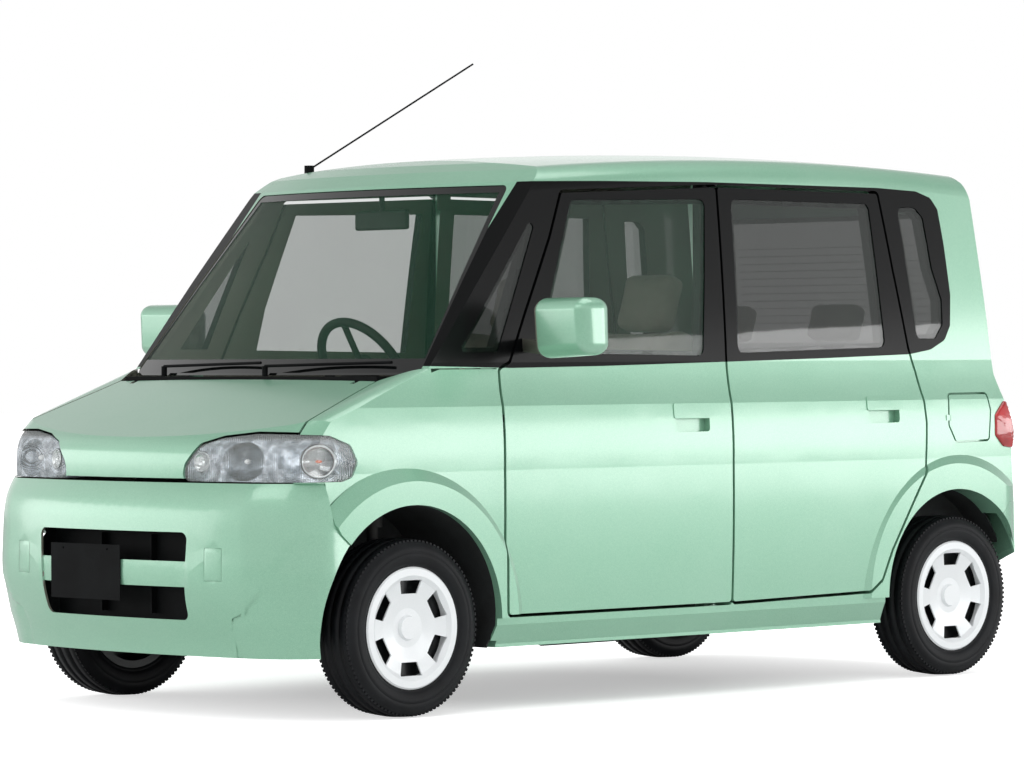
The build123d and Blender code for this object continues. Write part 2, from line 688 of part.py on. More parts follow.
# Roof panel
with BuildPart() as roof:
    add(cabin_form)
    add(cabin_room, mode=Mode.SUBTRACT)
    add(plan_region(roof_shares, roof_band_low, roof_height + overrun, -seam / 2), mode=Mode.INTERSECT)
    add(screen_hole, mode=Mode.SUBTRACT)
    add(screen_bed, mode=Mode.SUBTRACT)
    for share in lid_hinge_places_share:
        add(cross_hinge(share * half_width, lid_hinge_y, lid_hinge_z, lid_hinge_radius, lid_hinge_half,
                        lengthwise(roof_end_y_share) - clearance, 0))
finish(roof.part, "roof")

# Bumpers, the front one with a bar across its opening that a bare plate carrier passes through
bar_recess = 6
bar_shares = [
    (-0.4773, 0.229), (-0.4773, 0.2725), (0.4773, 0.2725), (0.4773, 0.229),
]
hook_cover_shares = [
    (0.5641, 0.2417), (0.5641, 0.2957), (0.6495, 0.2957), (0.6495, 0.2417),
]
plate_width = 330
plate_height = 165
plate_x_share = -0.136
plate_z_share = 0.2493
plate_x = plate_x_share * half_width
plate_z = upward(plate_z_share)
plate_arms_share = (-0.3, 0.3)
plate_arm_half = 8
plate_arm_rise = 16
with BuildPart() as rear_bumper:
    add(cabin_form)
    add(both_sides(flares))
    add(cabin_rebate_form, mode=Mode.SUBTRACT)
    add(side_region(rear_bumper_gap_shares, 0, 0, whole, overall_width), mode=Mode.INTERSECT)
    add(both_sides(arch_cuts), mode=Mode.SUBTRACT)
finish(rear_bumper.part, "rear_bumper")
with BuildPart() as front_bumper:
    add(bumper_form)
    add(both_sides(flares))
    add(bumper_room, mode=Mode.SUBTRACT)
    add(side_region(bumper_gap_shares, 0, 0, whole, overall_width), mode=Mode.INTERSECT)
    add(both_sides(arch_cuts), mode=Mode.SUBTRACT)
    add(front_region(grille_shares, front_end - overrun, front_axle, 0, corner_radius), mode=Mode.SUBTRACT)
    add(Pos(0, bar_recess, 0) * (bumper_form - bumper_room) & front_region(bar_shares, front_end - overrun, front_axle))
    add(both_sides(front_region(hook_cover_shares, front_end - overrun, front_axle, hook_groove)
                   - front_region(hook_cover_shares, front_end - 2 * overrun, front_axle + overrun)
                   - hook_groove_floor),
        mode=Mode.SUBTRACT)
    for share in plate_arms_share:
        with Locations((plate_x + share * plate_width, front_end, plate_z)):
            Box(2 * (plate_arm_half + seam), overrun, 2 * (plate_arm_rise + seam), mode=Mode.SUBTRACT)
finish(front_bumper.part, "front_bumper")

# Fenders, bonnet and headlamps
nose_skin = nose_form + both_sides(flares) - nose_room
with BuildPart() as fender:
    add(nose_skin)
    add(side_region(fender_shares), mode=Mode.INTERSECT)
    add(side_region(bumper_gap_shares, seam), mode=Mode.SUBTRACT)
    add(plan_region(bonnet_shares, 0, roof_height, panel_gap), mode=Mode.SUBTRACT)
    add(plan_region(scuttle_plan_shares, 0, roof_height, seam), mode=Mode.SUBTRACT)
    add(lamp_hole, mode=Mode.SUBTRACT)
    add(arch_cuts, mode=Mode.SUBTRACT)
finish(both_sides(fender.part), "front_fenders")
bonnet_hinge_places_share = (-0.705, 0.705)
bonnet_hinge_y = lengthwise(-0.3424)
bonnet_hinge_z = upward(0.5722)
bonnet_hinge_radius = 4
bonnet_hinge_half = 10
with BuildPart() as bonnet:
    add(nose_skin)
    add(plan_region(bonnet_shares, 0, roof_height), mode=Mode.INTERSECT)
    add(side_region(bonnet_side_shares, 0, 0, whole, overall_width), mode=Mode.INTERSECT)
    add(both_sides(front_region(lamp_front_shares, front_end - overrun, front_axle, panel_gap, lamp_corner_radius)
                   & side_region(lamp_side_shares, panel_gap, lamp_corner_radius)), mode=Mode.SUBTRACT)
    for share in bonnet_hinge_places_share:
        with Locations((share * half_width, bonnet_hinge_y, bonnet_hinge_z)):
            Box(2 * (bonnet_hinge_half + play), 8 * bonnet_hinge_radius, 8 * bonnet_hinge_radius, mode=Mode.SUBTRACT)
finish(bonnet.part, "bonnet")
finish(both_sides(lamp_block & nose_form - nose_room), "headlamp_lenses")
lamp_front = nose_block(skin + seam, floor_height - overrun)
finish(both_sides(lamp_block & lamp_front), "headlamps")
finish(both_sides(tail_lamp_block & cabin_shell.part), "tail_lamps")
with BuildPart() as fuel_lid:
    add(cabin_form - cabin_rebate_form)
    add(side_region(fuel_lid_shares, -panel_gap / 2, corner_radius / 2), mode=Mode.INTERSECT)
    with Locations((flap_x, flap_y, flap_z)):
        Box(overrun, 4 * flap_hinge_radius, 2 * (flap_hinge_half + play), mode=Mode.SUBTRACT)
finish(fuel_lid.part, "fuel_lid")
with BuildPart() as cowl:
    add(plan_region(cowl_shares, upward(shelf_top_share), upward(cowl_top_share)))
    add(cabin_form, mode=Mode.SUBTRACT)
finish(cowl.part, "cowl")

# Underbody
floor_half_width_share = 0.80
floor_front_share = -0.462
floor_rear_share = 0.478
kick_up_share = 0.170
load_floor_height = 400
front_well_inner = 400
rear_well_inner = 540
well_rear_end_share = 0.481
rail_half_gap = 372
rail_width = 50
rail_height = 430
rail_depth = 90
firewall_front_share = -0.2330
firewall_depth = 26
shelf_front_share = -0.3443
shelf_wide_front_share = -0.3397
shelf_lug_half_share = 0.72
crossmember_heights_share = (0.155, 0.368)
crossmember_size = 60
rear_panel_top_share = 0.325
axle_hole_radius = 44
wheel_centre_height = tyre_radius
well_radius = arch_radius + fit


def box_between(x0, x1, y0, y1, z0, z1):
    with BuildPart() as block:
        with Locations(((x0 + x1) / 2, (y0 + y1) / 2, (z0 + z1) / 2)):
            Box(x1 - x0, y1 - y0, z1 - z0)
    return block.part


def rod(start, end, radius):
    """A round bar between two points."""
    axis = Vector(*end) - Vector(*start)
    with BuildPart() as bar:
        with BuildSketch(Plane(origin=start, z_dir=axis)):
            Circle(radius)
        extrude(amount=axis.length)
    return bar.part


floor_x = floor_half_width_share * half_width
floor_top = floor_height + floor_thickness
kick_y = lengthwise(kick_up_share)
floor_front = lengthwise(floor_front_share)
floor_rear = lengthwise(floor_rear_share)
firewall_y = lengthwise(firewall_front_share)
shelf_top = upward(shelf_top_share)
cross_low, cross_high = [upward(share) for share in crossmember_heights_share]
wells = ((front_axle, front_arch_height, front_well_inner), (rear_axle, rear_arch_height, rear_well_inner))
with BuildPart() as underbody:
    add(box_between(-floor_x, floor_x, firewall_y, kick_y + floor_thickness, floor_height, floor_top))
    add(box_between(-floor_x, floor_x, kick_y, kick_y + floor_thickness, floor_height, load_floor_height))
    add(box_between(-floor_x, floor_x, kick_y, floor_rear, load_floor_height - floor_thickness, load_floor_height))
    add(box_between(-floor_x, floor_x, floor_rear - floor_thickness, floor_rear, floor_height,
                    upward(rear_panel_top_share)))
    add(box_between(-floor_x, floor_x, firewall_y, firewall_y + firewall_depth, floor_height, shelf_top))
    for front_share, half in ((shelf_wide_front_share, floor_x), (shelf_front_share, shelf_lug_half_share * half_width)):
        add(box_between(-half, half, lengthwise(front_share), firewall_y + firewall_depth, shelf_top - firewall_depth,
                        shelf_top))
    for height in (cross_low, cross_high):
        add(box_between(-rail_half_gap - rail_width, rail_half_gap + rail_width, floor_front,
                        floor_front + crossmember_size, height, height + crossmember_size))
    for x0, x1 in ((rail_half_gap, front_well_inner - clearance), (clearance - front_well_inner, -rail_half_gap)):
        add(box_between(x0, x1, floor_front, firewall_y + firewall_depth, rail_height, rail_height + rail_depth))
        add(box_between(x0, x1, floor_front, floor_front + crossmember_size, cross_low,
                        cross_high + crossmember_size))
    for (axle_y, height, inner), low, high in zip(wells, (skin + seam, door_depth + seam),
                                                  (skin + seam, frame_depth + seam)):
        drum = wheel_cylinder(axle_y, height, well_radius + well_wall, inner - well_wall, overall_width)
        drum = drum & tube(low, high, roof_depth, floor_height, roof_edge_radius - high)
        add(both_sides(drum & box_between(0, half_width, front_end, lengthwise(well_rear_end_share), floor_height,
                                          roof_height)))
    for axle_y, height, inner in wells:
        add(both_sides(wheel_cylinder(axle_y, height, well_radius, inner, overall_width)), mode=Mode.SUBTRACT)
    add(rod((-half_width, rear_axle, wheel_centre_height), (half_width, rear_axle, wheel_centre_height),
            axle_hole_radius), mode=Mode.SUBTRACT)
    for share in bonnet_hinge_places_share:
        add(cross_hinge(share * half_width, bonnet_hinge_y, bonnet_hinge_z, bonnet_hinge_radius, bonnet_hinge_half, 0,
                        bonnet_hinge_z - shelf_top + firewall_depth / 2))
finish(underbody.part, "underbody")

# Wheels and tyres, drawn with their outer face towards +X
rim_radius = 168
rim_lip = 9
rim_wall = 5
shoulder_round = 26
bead_width_share = 0.80
disc_offset = 20
cover_radius = 182
cover_face = 63
cover_dish = 15
cover_wall = 5
cover_step_radius = 156
cover_flat_radius = 58
cover_openings = 6
opening_inner_radius = 106
opening_outer_radius = 148
opening_half_angle = 17
cap_radius = 33
cap_height = 5
hub_radius = 46
hub_bore = 28
bead = bead_width_share * tyre_width / 2
half_tyre = tyre_width / 2
rim_seat = rim_radius - rim_lip

with BuildPart() as tyre:
    with BuildSketch(Plane.XY):
        with BuildLine():
            Polyline((-bead + rim_lip, rim_seat + play), (-bead, rim_seat + play), (-bead, rim_radius + rim_lip))
            ThreePointArc((-bead, rim_radius + rim_lip), (-half_tyre, (rim_radius + tyre_radius) / 2),
                          (-half_tyre + shoulder_round / 4, tyre_radius - shoulder_round))
            ThreePointArc((-half_tyre + shoulder_round / 4, tyre_radius - shoulder_round),
                          (-half_tyre + shoulder_round * 0.7, tyre_radius - shoulder_round / 4),
                          (-half_tyre + shoulder_round * 1.6, tyre_radius - fit))
            mirror(about=Plane.YZ)
            ThreePointArc((-half_tyre + shoulder_round * 1.6, tyre_radius - fit), (0, tyre_radius),
                          (half_tyre - shoulder_round * 1.6, tyre_radius - fit))
            Line((-bead + rim_lip, rim_seat + play), (bead - rim_lip, rim_seat + play))
        make_face()
    revolve(axis=Axis.X)

with BuildPart() as wheel:
    with BuildSketch(Plane.XY):
        with BuildLine():
            flange_x = bead + play + rim_wall
            Polyline((-flange_x, rim_radius + rim_lip - play), (-flange_x, rim_seat - rim_wall),
                     (disc_offset, rim_seat - 2 * rim_wall), (disc_offset, hub_bore),
                     (disc_offset + rim_wall, hub_bore), (disc_offset + rim_wall, rim_seat - 2 * rim_wall),
                     (flange_x, rim_seat - rim_wall), (flange_x, rim_radius + rim_lip - play),
                     (bead + play, rim_radius + rim_lip - play), (bead + play, rim_seat), (-bead - play, rim_seat),
                     (-bead - play, rim_radius + rim_lip - play), (-flange_x, rim_radius + rim_lip - play))
        make_face()
    revolve(axis=Axis.X)

with BuildPart() as wheel_cover:
    with BuildSketch(Plane.XY):
        with BuildLine():
            edge_x = flange_x
            back_x = cover_face - cover_dish - cover_wall
            Polyline((edge_x, cover_radius), (edge_x, cover_step_radius + cover_wall), (cover_face - cover_wall,
                     opening_outer_radius), (back_x + cover_dish / 2, opening_inner_radius), (back_x, cover_flat_radius),
                     (back_x, 0), (cover_face - cover_wall, 0), (cover_face - cover_wall, cap_radius),
                     (cover_face - cover_dish, cap_radius + cap_height), (cover_face - cover_dish, cover_flat_radius),
                     (cover_face - cover_dish / 2, opening_inner_radius), (cover_face, opening_outer_radius - cover_wall),
                     (edge_x + cover_wall, cover_step_radius), (edge_x + cover_wall, cover_radius - cap_height),
                     (edge_x, cover_radius))
        make_face()
    revolve(axis=Axis.X)
    for turn in range(cover_openings):
        with BuildSketch(Plane.YZ.rotated((turn * 360 / cover_openings, 0, 0))):
            a = radians(opening_half_angle)
            with BuildLine():
                Polyline((-opening_inner_radius * sin(a), opening_inner_radius * cos(a)),
                         (-opening_outer_radius * sin(a), opening_outer_radius * cos(a)),
                         (opening_outer_radius * sin(a), opening_outer_radius * cos(a)),
                         (opening_inner_radius * sin(a), opening_inner_radius * cos(a)), close=True)
            make_face()
        extrude(amount=overrun * 2, mode=Mode.SUBTRACT)
wheel_places = {
    "front_left": (front_track / 2, front_axle, 1), "front_right": (-front_track / 2, front_axle, -1),
    "rear_left": (rear_track / 2, rear_axle, 1), "rear_right": (-rear_track / 2, rear_axle, -1),
}
for corner_name, (x, y, hand) in wheel_places.items():
    place = Location((x, y, wheel_centre_height), (0, 0, 0 if hand > 0 else 180))
    finish(tyre.part.moved(place), f"tyre_{corner_name}")
    finish((wheel.part + wheel_cover.part).moved(place), f"wheel_{corner_name}")

# Front knuckles, each on its upright steering axis
kingpin_x = 545
kingpin_radius = 17
kingpin_low = 184
kingpin_high = 560
carrier_radius = 42
brake_radius = 105
brake_depth = 12
hub_reach = front_track / 2 + disc_offset - play
arm_thickness = 14
knuckle_gap = play
strut_radius = 30
with BuildPart() as knuckle:
    add(rod((kingpin_x, front_axle, kingpin_low), (kingpin_x, front_axle, kingpin_high), kingpin_radius))
    add(rod((kingpin_x - carrier_radius, front_axle, wheel_centre_height),
            (hub_reach, front_axle, wheel_centre_height), carrier_radius))
    add(rod((front_track / 2 - 3 * brake_depth, front_axle, wheel_centre_height),
            (front_track / 2 - 2 * brake_depth, front_axle, wheel_centre_height), brake_radius))
finish(knuckle.part, "knuckle_left")
finish(mirror(objects=knuckle.part, about=Plane.YZ, mode=Mode.PRIVATE), "knuckle_right")

# Front suspension carried by the body
subframe_depth = 70
subframe_height = 40
subframe_low = kingpin_low - knuckle_gap - arm_thickness
with BuildPart() as subframe:
    add(box_between(-rail_half_gap, rail_half_gap, front_axle - subframe_depth / 2, front_axle + subframe_depth / 2,
                    subframe_low, subframe_low + subframe_height))
    for side in (-1, 1):
        with BuildSketch(Plane.XY.offset(subframe_low)):
            with BuildLine():
                Polyline((side * (rail_half_gap - overrun), front_axle - subframe_depth),
                         (side * (kingpin_x + carrier_radius / 2), front_axle - carrier_radius / 2),
                         (side * (kingpin_x + carrier_radius / 2), front_axle + carrier_radius / 2),
                         (side * (rail_half_gap - overrun), front_axle + 3 * subframe_depth), close=True)
            make_face()
        extrude(amount=arm_thickness)
    for side in (-1, 1):
        add(box_between(*sorted((side * rail_half_gap, side * (rail_half_gap - 2 * clearance))),
                        front_axle - subframe_depth / 2, front_axle + subframe_depth / 2, subframe_low,
                        rail_height + rail_depth / 2))
with BuildPart() as struts:
    for side in (-1, 1):
        add(rod((side * kingpin_x, front_axle, kingpin_high + knuckle_gap),
                (side * kingpin_x, front_axle, front_arch_height + well_radius), strut_radius))
    add(both_sides(wheel_cylinder(front_axle, front_arch_height, well_radius - seam, 0, overall_width)),
        mode=Mode.INTERSECT)
finish(subframe.part + struts.part, "front_suspension")

# Engine and gearbox as one plain block
engine_half_width = 290
engine_low = 215
engine_high = 700
with BuildPart() as engine:
    add(box_between(-engine_half_width, engine_half_width, front_axle - 3.4 * subframe_depth,
                    front_axle + 3 * subframe_depth, engine_low, engine_high))
    fillet(engine.edges(), radius=clearance)
    add(box_between(2 * clearance - rail_half_gap, rail_half_gap - 2 * clearance, front_axle - subframe_depth,
                    front_axle + subframe_depth, rail_height, rail_height + rail_depth / 2))
finish(engine.part, "engine")

# Rear axle
beam_radius = 32
arm_reach = 360
spring_radius = 48
spring_x = 430
rear_hub_reach = rear_track / 2 + disc_offset - play
with BuildPart() as axle_beam:
    add(rod((-rear_hub_reach, rear_axle, wheel_centre_height), (rear_hub_reach, rear_axle, wheel_centre_height),
            beam_radius))
    for side in (-1, 1):
        add(rod((side * spring_x, rear_axle, wheel_centre_height),
                (side * spring_x, rear_axle - arm_reach, wheel_centre_height), beam_radius * 0.8))
        add(box_between(*sorted((side * (spring_x - beam_radius), side * (spring_x + beam_radius))),
                        rear_axle - arm_reach - beam_radius, rear_axle - arm_reach + beam_radius,
                        wheel_centre_height, load_floor_height - floor_thickness))
        add(rod((side * spring_x, rear_axle, wheel_centre_height),
                (side * spring_x, rear_axle, load_floor_height - floor_thickness), spring_radius))
        add(rod((side * (rear_track / 2 - 3 * brake_depth), rear_axle, wheel_centre_height),
                (side * (rear_track / 2 - 2 * brake_depth), rear_axle, wheel_centre_height), brake_radius))
finish(axle_beam.part, "rear_axle")

# Exhaust
pipe_radius = 20
pipe_x_share = -0.20
pipe_height = 150
silencer_length = 330
silencer_radius = 38
pipe_x = pipe_x_share * half_width
with BuildPart() as exhaust:
    add(rod((pipe_x, front_axle + 3.6 * subframe_depth, pipe_height), (pipe_x, kick_y, pipe_height), pipe_radius))
    add(rod((pipe_x, kick_y - silencer_length, pipe_height), (pipe_x, kick_y, pipe_height), silencer_radius))
    add(box_between(pipe_x - pipe_radius, pipe_x + pipe_radius, kick_y - 2 * pipe_radius, kick_y, pipe_height,
                    floor_height - fit / 2))
finish(exhaust.part, "exhaust")

# Dashboard and steering wheel
dash_half_width = 590
dash_rear_share = -0.168
dash_low_share = 0.400
steering_centre = (-350, -350, 1024)
steering_tilt = 30
steering_radius = 180
steering_rim = 15
column_radius = 24
column_length = 250
with BuildPart() as dashboard:
    add(box_between(-dash_half_width, dash_half_width, firewall_y + firewall_depth, lengthwise(dash_rear_share),
                    upward(dash_low_share), shelf_top - clearance))
    fillet(dashboard.edges().filter_by(Axis.X), radius=overrun / 2)
    axis = Vector(0, cos(radians(steering_tilt)), sin(radians(steering_tilt)))
    near = Vector(*steering_centre) - axis * (1.5 * steering_rim + play)
    far = Vector(*steering_centre) - axis * column_length
    add(rod((near.X, near.Y, near.Z), (far.X, far.Y, far.Z), column_radius * 1.3))
finish(dashboard.part, "dashboard")
wheel_plane = Plane(origin=steering_centre, x_dir=(1, 0, 0), z_dir=axis)
seam_plane = Plane(origin=steering_centre, x_dir=(1, axis.Z, -axis.Y), z_dir=axis)
with BuildPart() as steering_wheel:
    with Locations(seam_plane):
        Torus(steering_radius, steering_rim)
        Cylinder(column_radius * 2, 3 * steering_rim)
    for angle in (0, 180, 270):
        tip = wheel_plane.from_local_coords(((steering_radius - steering_rim / 4) * cos(radians(angle)),
                                             (steering_radius - steering_rim / 4) * sin(radians(angle)), 0))
        add(rod(steering_centre, (tip.X, tip.Y, tip.Z), steering_rim * 0.7))
finish(steering_wheel.part, "steering_wheel")

# Seats
seat_width = 480
seat_length = 480
seat_x = 300
seat_front_y = -330
cushion_top = 640
cushion_depth = 150
back_top = 1230
back_depth = 130
back_lean = 18
head_width = 250
seat_round = 40
base_inset = 60


def seat(x, front_y, width, cushion_high, back_high, floor_z):
    """A cushion, a leaning back and the base under them."""
    with BuildPart() as cushion:
        add(box_between(x - width / 2, x + width / 2, front_y, front_y + seat_length,
                        cushion_high - cushion_depth, cushion_high))
        fillet(cushion.edges(), radius=seat_round)
    lean = radians(back_lean)
    hinge_y = front_y + seat_length - back_depth / 2
    with BuildPart() as back:
        with BuildSketch(Plane(origin=(x, hinge_y, cushion_high - cushion_depth / 2), x_dir=(1, 0, 0),
                               z_dir=(0, sin(lean), cos(lean)))):
            RectangleRounded(width, back_depth, seat_round)
        extrude(amount=back_high - cushion_high, taper=2)
    with BuildPart() as whole_seat:
        add(cushion.part)
        add(back.part)
        add(box_between(x - width / 2 + base_inset, x + width / 2 - base_inset, front_y + base_inset,
                        front_y + seat_length - base_inset, floor_z, cushion_high - cushion_depth / 2))
    return whole_seat.part


finish(seat(seat_x, seat_front_y, seat_width, cushion_top, back_top, floor_top + fit)
       + seat(-seat_x, seat_front_y, seat_width, cushion_top, back_top, floor_top + fit), "front_seats")
finish(seat(0, kick_y + 2 * floor_thickness, 2 * rear_well_inner - 4 * clearance, cushion_top + 2 * clearance,
            back_top - 4 * clearance, load_floor_height + fit), "rear_seat")

# Grille behind the bumper opening, with a bare carrier at its front
grille_depth = 20
grille_back_y = front_end + 95
bar_height_share = 0.2507
bar_half = 16
fin_x_share = 0.16
fin_width = 8
plate_thickness = 2
plate_hole_spacing = 210
plate_hole_radius = 3.5
plate_hole_drop = 14
with BuildPart() as grille:
    add(front_region(grille_shares, grille_back_y, grille_back_y + grille_depth, clearance))
    bar_z = upward(bar_height_share)
    grille_half = grille_shares[0][0] * -half_width
    add(box_between(-grille_half, grille_half, grille_back_y - grille_depth, grille_back_y + seam,
                    bar_z - bar_half, bar_z + bar_half))
    for share in (-fin_x_share, fin_x_share):
        add(box_between(share * half_width - fin_width / 2, share * half_width + fin_width / 2,
                        grille_back_y - grille_depth, grille_back_y + seam,
                        upward(grille_shares[0][1]) + clearance, upward(grille_shares[1][1]) - clearance))
    add(box_between(-grille_half + clearance, clearance - grille_half / 2, grille_back_y + grille_depth - seam,
                    floor_front, cross_low + clearance, cross_low + 4 * clearance))
    add(box_between(grille_half / 2 - clearance, grille_half - clearance, grille_back_y + grille_depth - seam,
                    floor_front, cross_low + clearance, cross_low + 4 * clearance))
    add(box_between(plate_x - plate_width / 2, plate_x + plate_width / 2, front_end + fit,
                    front_end + fit + plate_thickness, plate_z - plate_height / 2, plate_z + plate_height / 2))
    for share in plate_arms_share:
        add(box_between(plate_x + share * plate_width - plate_arm_half, plate_x + share * plate_width + plate_arm_half,
                        front_end + fit + plate_thickness / 2, grille_back_y + seam, plate_z - plate_arm_rise,
                        plate_z + plate_arm_rise))
    with BuildSketch(Plane.XZ.offset(-front_end)):
        with Locations((plate_x, plate_z + plate_height / 2 - plate_hole_drop)):
            with GridLocations(plate_hole_spacing, 0, 2, 1):
                Circle(plate_hole_radius)
    extrude(amount=-overrun / 2, mode=Mode.SUBTRACT)
finish(grille.part, "grille")

# Door mirrors
mirror_x0_share = 1.105
mirror_x1_share = 1.417
mirror_y_share = -0.183
mirror_low_share = 0.621
mirror_high_share = 0.720
mirror_depth = 95
mirror_round = 38
arm_root_share = 0.930
arm_half = 20
with BuildPart() as mirror_shell:
    my = lengthwise(mirror_y_share)
    add(box_between(mirror_x0_share * half_width, mirror_x1_share * half_width, my - mirror_depth / 2,
                    my + mirror_depth / 2, upward(mirror_low_share), upward(mirror_high_share)))
    fillet(mirror_shell.edges(), radius=mirror_round)
    add(box_between(arm_root_share * half_width, (mirror_x0_share + 0.05) * half_width, my - arm_half,
                    my + arm_half, upward(mirror_low_share) + arm_half / 2, upward(mirror_low_share) + 2.5 * arm_half))
mirror_body = mirror_shell.part - cabin_form
finish(mirror_body, "door_mirror_left")
finish(mirror(objects=mirror_body, about=Plane.YZ, mode=Mode.PRIVATE), "door_mirror_right")

# Interior mirror
inner_mirror_z_share = 0.868
inner_mirror_y_share = -0.172
inner_mirror_width = 240
inner_mirror_height = 62
inner_mirror_depth = 22
with BuildPart() as interior_mirror:
    iy = lengthwise(inner_mirror_y_share)
    iz = upward(inner_mirror_z_share)
    add(box_between(-inner_mirror_width / 2, inner_mirror_width / 2, iy - inner_mirror_depth / 2,
                    iy + inner_mirror_depth / 2, iz - inner_mirror_height / 2, iz + inner_mirror_height / 2))
    fillet(interior_mirror.edges(), radius=inner_mirror_depth * 0.4)
    add(rod((0, iy, iz), (0, iy, roof_height * 0.98), inner_mirror_depth * 0.4))
    add(cabin_room, mode=Mode.INTERSECT)
finish(main_solid(interior_mirror.part), "interior_mirror")

# Aerial on the right of the roof
aerial_foot_share = (-0.678, -0.1325)
aerial_length = 820
aerial_lean = 63
aerial_base_radius = 16
aerial_base_height = 26
aerial_radius = 3
ax, ay = plan_points([aerial_foot_share])[0]
crest = roof_height - (ay - lengthwise(roof_bow_middle_share)) ** 2 / (2 * roof_bow_radius)
az = crest - ax ** 2 / (2 * roof_crown_radius)
with BuildPart() as aerial:
    add(rod((ax, ay, az - roof_depth / 2), (ax, ay, az + aerial_base_height), aerial_base_radius))
    lean = radians(aerial_lean)
    add(rod((ax, ay, az + aerial_base_height / 2),
            (ax, ay + aerial_length * sin(lean), az + aerial_base_height / 2 + aerial_length * cos(lean)),
            aerial_radius))
    add(cabin_form, mode=Mode.SUBTRACT)
finish(main_solid(aerial.part), "aerial")

# Wipers lie along the foot of the windscreen
wiper_pivots_share = (0.10, -0.62)
wiper_reach_share = 0.66
wiper_height_share = 0.6035
wiper_rise = 10
wiper_width = 9
wiper_stand = 14
screen_axis_y = side_points(screen_shares)[1][0] + screen_bow_radius


def screen_point(x, z, stand):
    """A place on the windscreen, standing off its skin."""
    profile = side_points(screen_shares)
    for (y0, z0), (y1, z1) in zip(profile, profile[1:]):
        if z0 <= z <= z1:
            radius = screen_axis_y - (y0 + (y1 - y0) * (z - z0) / (z1 - z0)) + stand
    return (x, screen_axis_y - (radius ** 2 - x ** 2) ** 0.5, z)


with BuildPart() as wipers:
    for share in wiper_pivots_share:
        foot = screen_point(share * half_width, upward(wiper_height_share), 2 * wiper_stand)
        tip = screen_point((share + wiper_reach_share) * half_width, upward(wiper_height_share) + wiper_rise,
                           wiper_stand)
        add(rod(foot, tip, wiper_width / 2))
        add(rod((foot[0], foot[1], foot[2]), (foot[0], foot[1] - fit, upward(cowl_top_share) + fit), wiper_width))
finish(wipers.part, "wipers")
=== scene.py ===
"""Looks of a small tall wagon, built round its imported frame: finishes for every CAD node, and the
soft, moulded and fluted pieces that the CAD leaves plain."""
import math

import bmesh
import bpy
from mathutils import Matrix, Vector


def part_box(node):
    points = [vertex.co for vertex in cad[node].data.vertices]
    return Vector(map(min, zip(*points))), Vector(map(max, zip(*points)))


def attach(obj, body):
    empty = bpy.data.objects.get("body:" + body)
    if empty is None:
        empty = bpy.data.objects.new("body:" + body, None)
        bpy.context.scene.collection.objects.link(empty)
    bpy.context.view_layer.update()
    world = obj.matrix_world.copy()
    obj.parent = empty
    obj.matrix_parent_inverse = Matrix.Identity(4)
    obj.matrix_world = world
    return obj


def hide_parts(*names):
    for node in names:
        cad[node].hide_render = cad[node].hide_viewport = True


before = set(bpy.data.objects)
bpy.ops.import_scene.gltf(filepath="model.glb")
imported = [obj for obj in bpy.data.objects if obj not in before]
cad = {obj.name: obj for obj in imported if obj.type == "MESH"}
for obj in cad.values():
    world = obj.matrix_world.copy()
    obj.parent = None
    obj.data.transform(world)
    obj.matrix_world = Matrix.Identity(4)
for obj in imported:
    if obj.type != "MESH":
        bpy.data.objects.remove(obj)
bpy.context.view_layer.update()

# vertices nearer than this, in metres, are one
MERGE = 1e-5
MATH, RANGE, MIX = "ShaderNodeMath", "ShaderNodeMapRange", "ShaderNodeMix"
NOISE, BUMP, AXES = "ShaderNodeTexNoise", "ShaderNodeBump", "ShaderNodeSeparateXYZ"


# Helpers
def linear(hex_colour):
    """An sRGB hex value as the linear colour that a shader takes."""
    parts = [int(hex_colour[i:i + 2], 16) / 255 for i in (0, 2, 4)]
    return (*(c / 12.92 if c <= 0.04045 else ((c + 0.055) / 1.055) ** 2.4 for c in parts), 1.0)


def add_node(tree, kind, feeds=(), out=None, **settings):
    """Adds one node with its own settings. The feeds go to its sockets in order, or by name or number:
    a socket is linked, a hex colour or a value is set. Gives the node, or one output of it."""
    made = tree.nodes.new(kind)
    for name, value in settings.items():
        setattr(made, name, value)
    for name, feed in feeds.items() if isinstance(feeds, dict) else enumerate(feeds):
        if isinstance(feed, bpy.types.NodeSocket):
            tree.links.new(feed, made.inputs[name])
        else:
            made.inputs[name].default_value = linear(feed) if isinstance(feed, str) else feed
    return made if out is None else made.outputs[out]


def new_finish(name, colour, roughness, metallic=0.0, **sockets):
    """A material with one Principled shader: the material, its tree, the shader and its coordinates."""
    finish = bpy.data.materials.new(name)
    finish.use_nodes = True
    tree = finish.node_tree
    shader = tree.nodes["Principled BSDF"]
    shader.inputs["Base Color"].default_value = linear(colour)
    shader.inputs["Roughness"].default_value = roughness
    shader.inputs["Metallic"].default_value = metallic
    for socket, value in sockets.items():
        shader.inputs[socket.replace("_", " ")].default_value = value
    return finish, tree, shader, add_node(tree, "ShaderNodeTexCoord")


def polyline_height(tree, along, points):
    """A height read from (along, height) points by straight spans, as a curve node."""
    margin = 0.01
    low_a, high_a = points[0][0], points[-1][0]
    low_h, high_h = min(h for _, h in points) - margin, max(h for _, h in points) + margin
    share = add_node(tree, RANGE, (along, low_a, high_a, 0.0, 1.0), 0)
    curve_node = add_node(tree, "ShaderNodeFloatCurve", {"Value": share})
    curve = curve_node.mapping.curves[0]
    spots = [((a - low_a) / (high_a - low_a), (h - low_h) / (high_h - low_h)) for a, h in points]
    curve.points[0].location, curve.points[1].location = spots[0], spots[-1]
    for spot in spots[1:-1]:
        curve.points.new(*spot)
    for point in curve.points:
        point.handle_type = "VECTOR"
    curve_node.mapping.update()
    return add_node(tree, RANGE, (curve_node.outputs["Value"], 0.0, 1.0, low_h, high_h), 0)


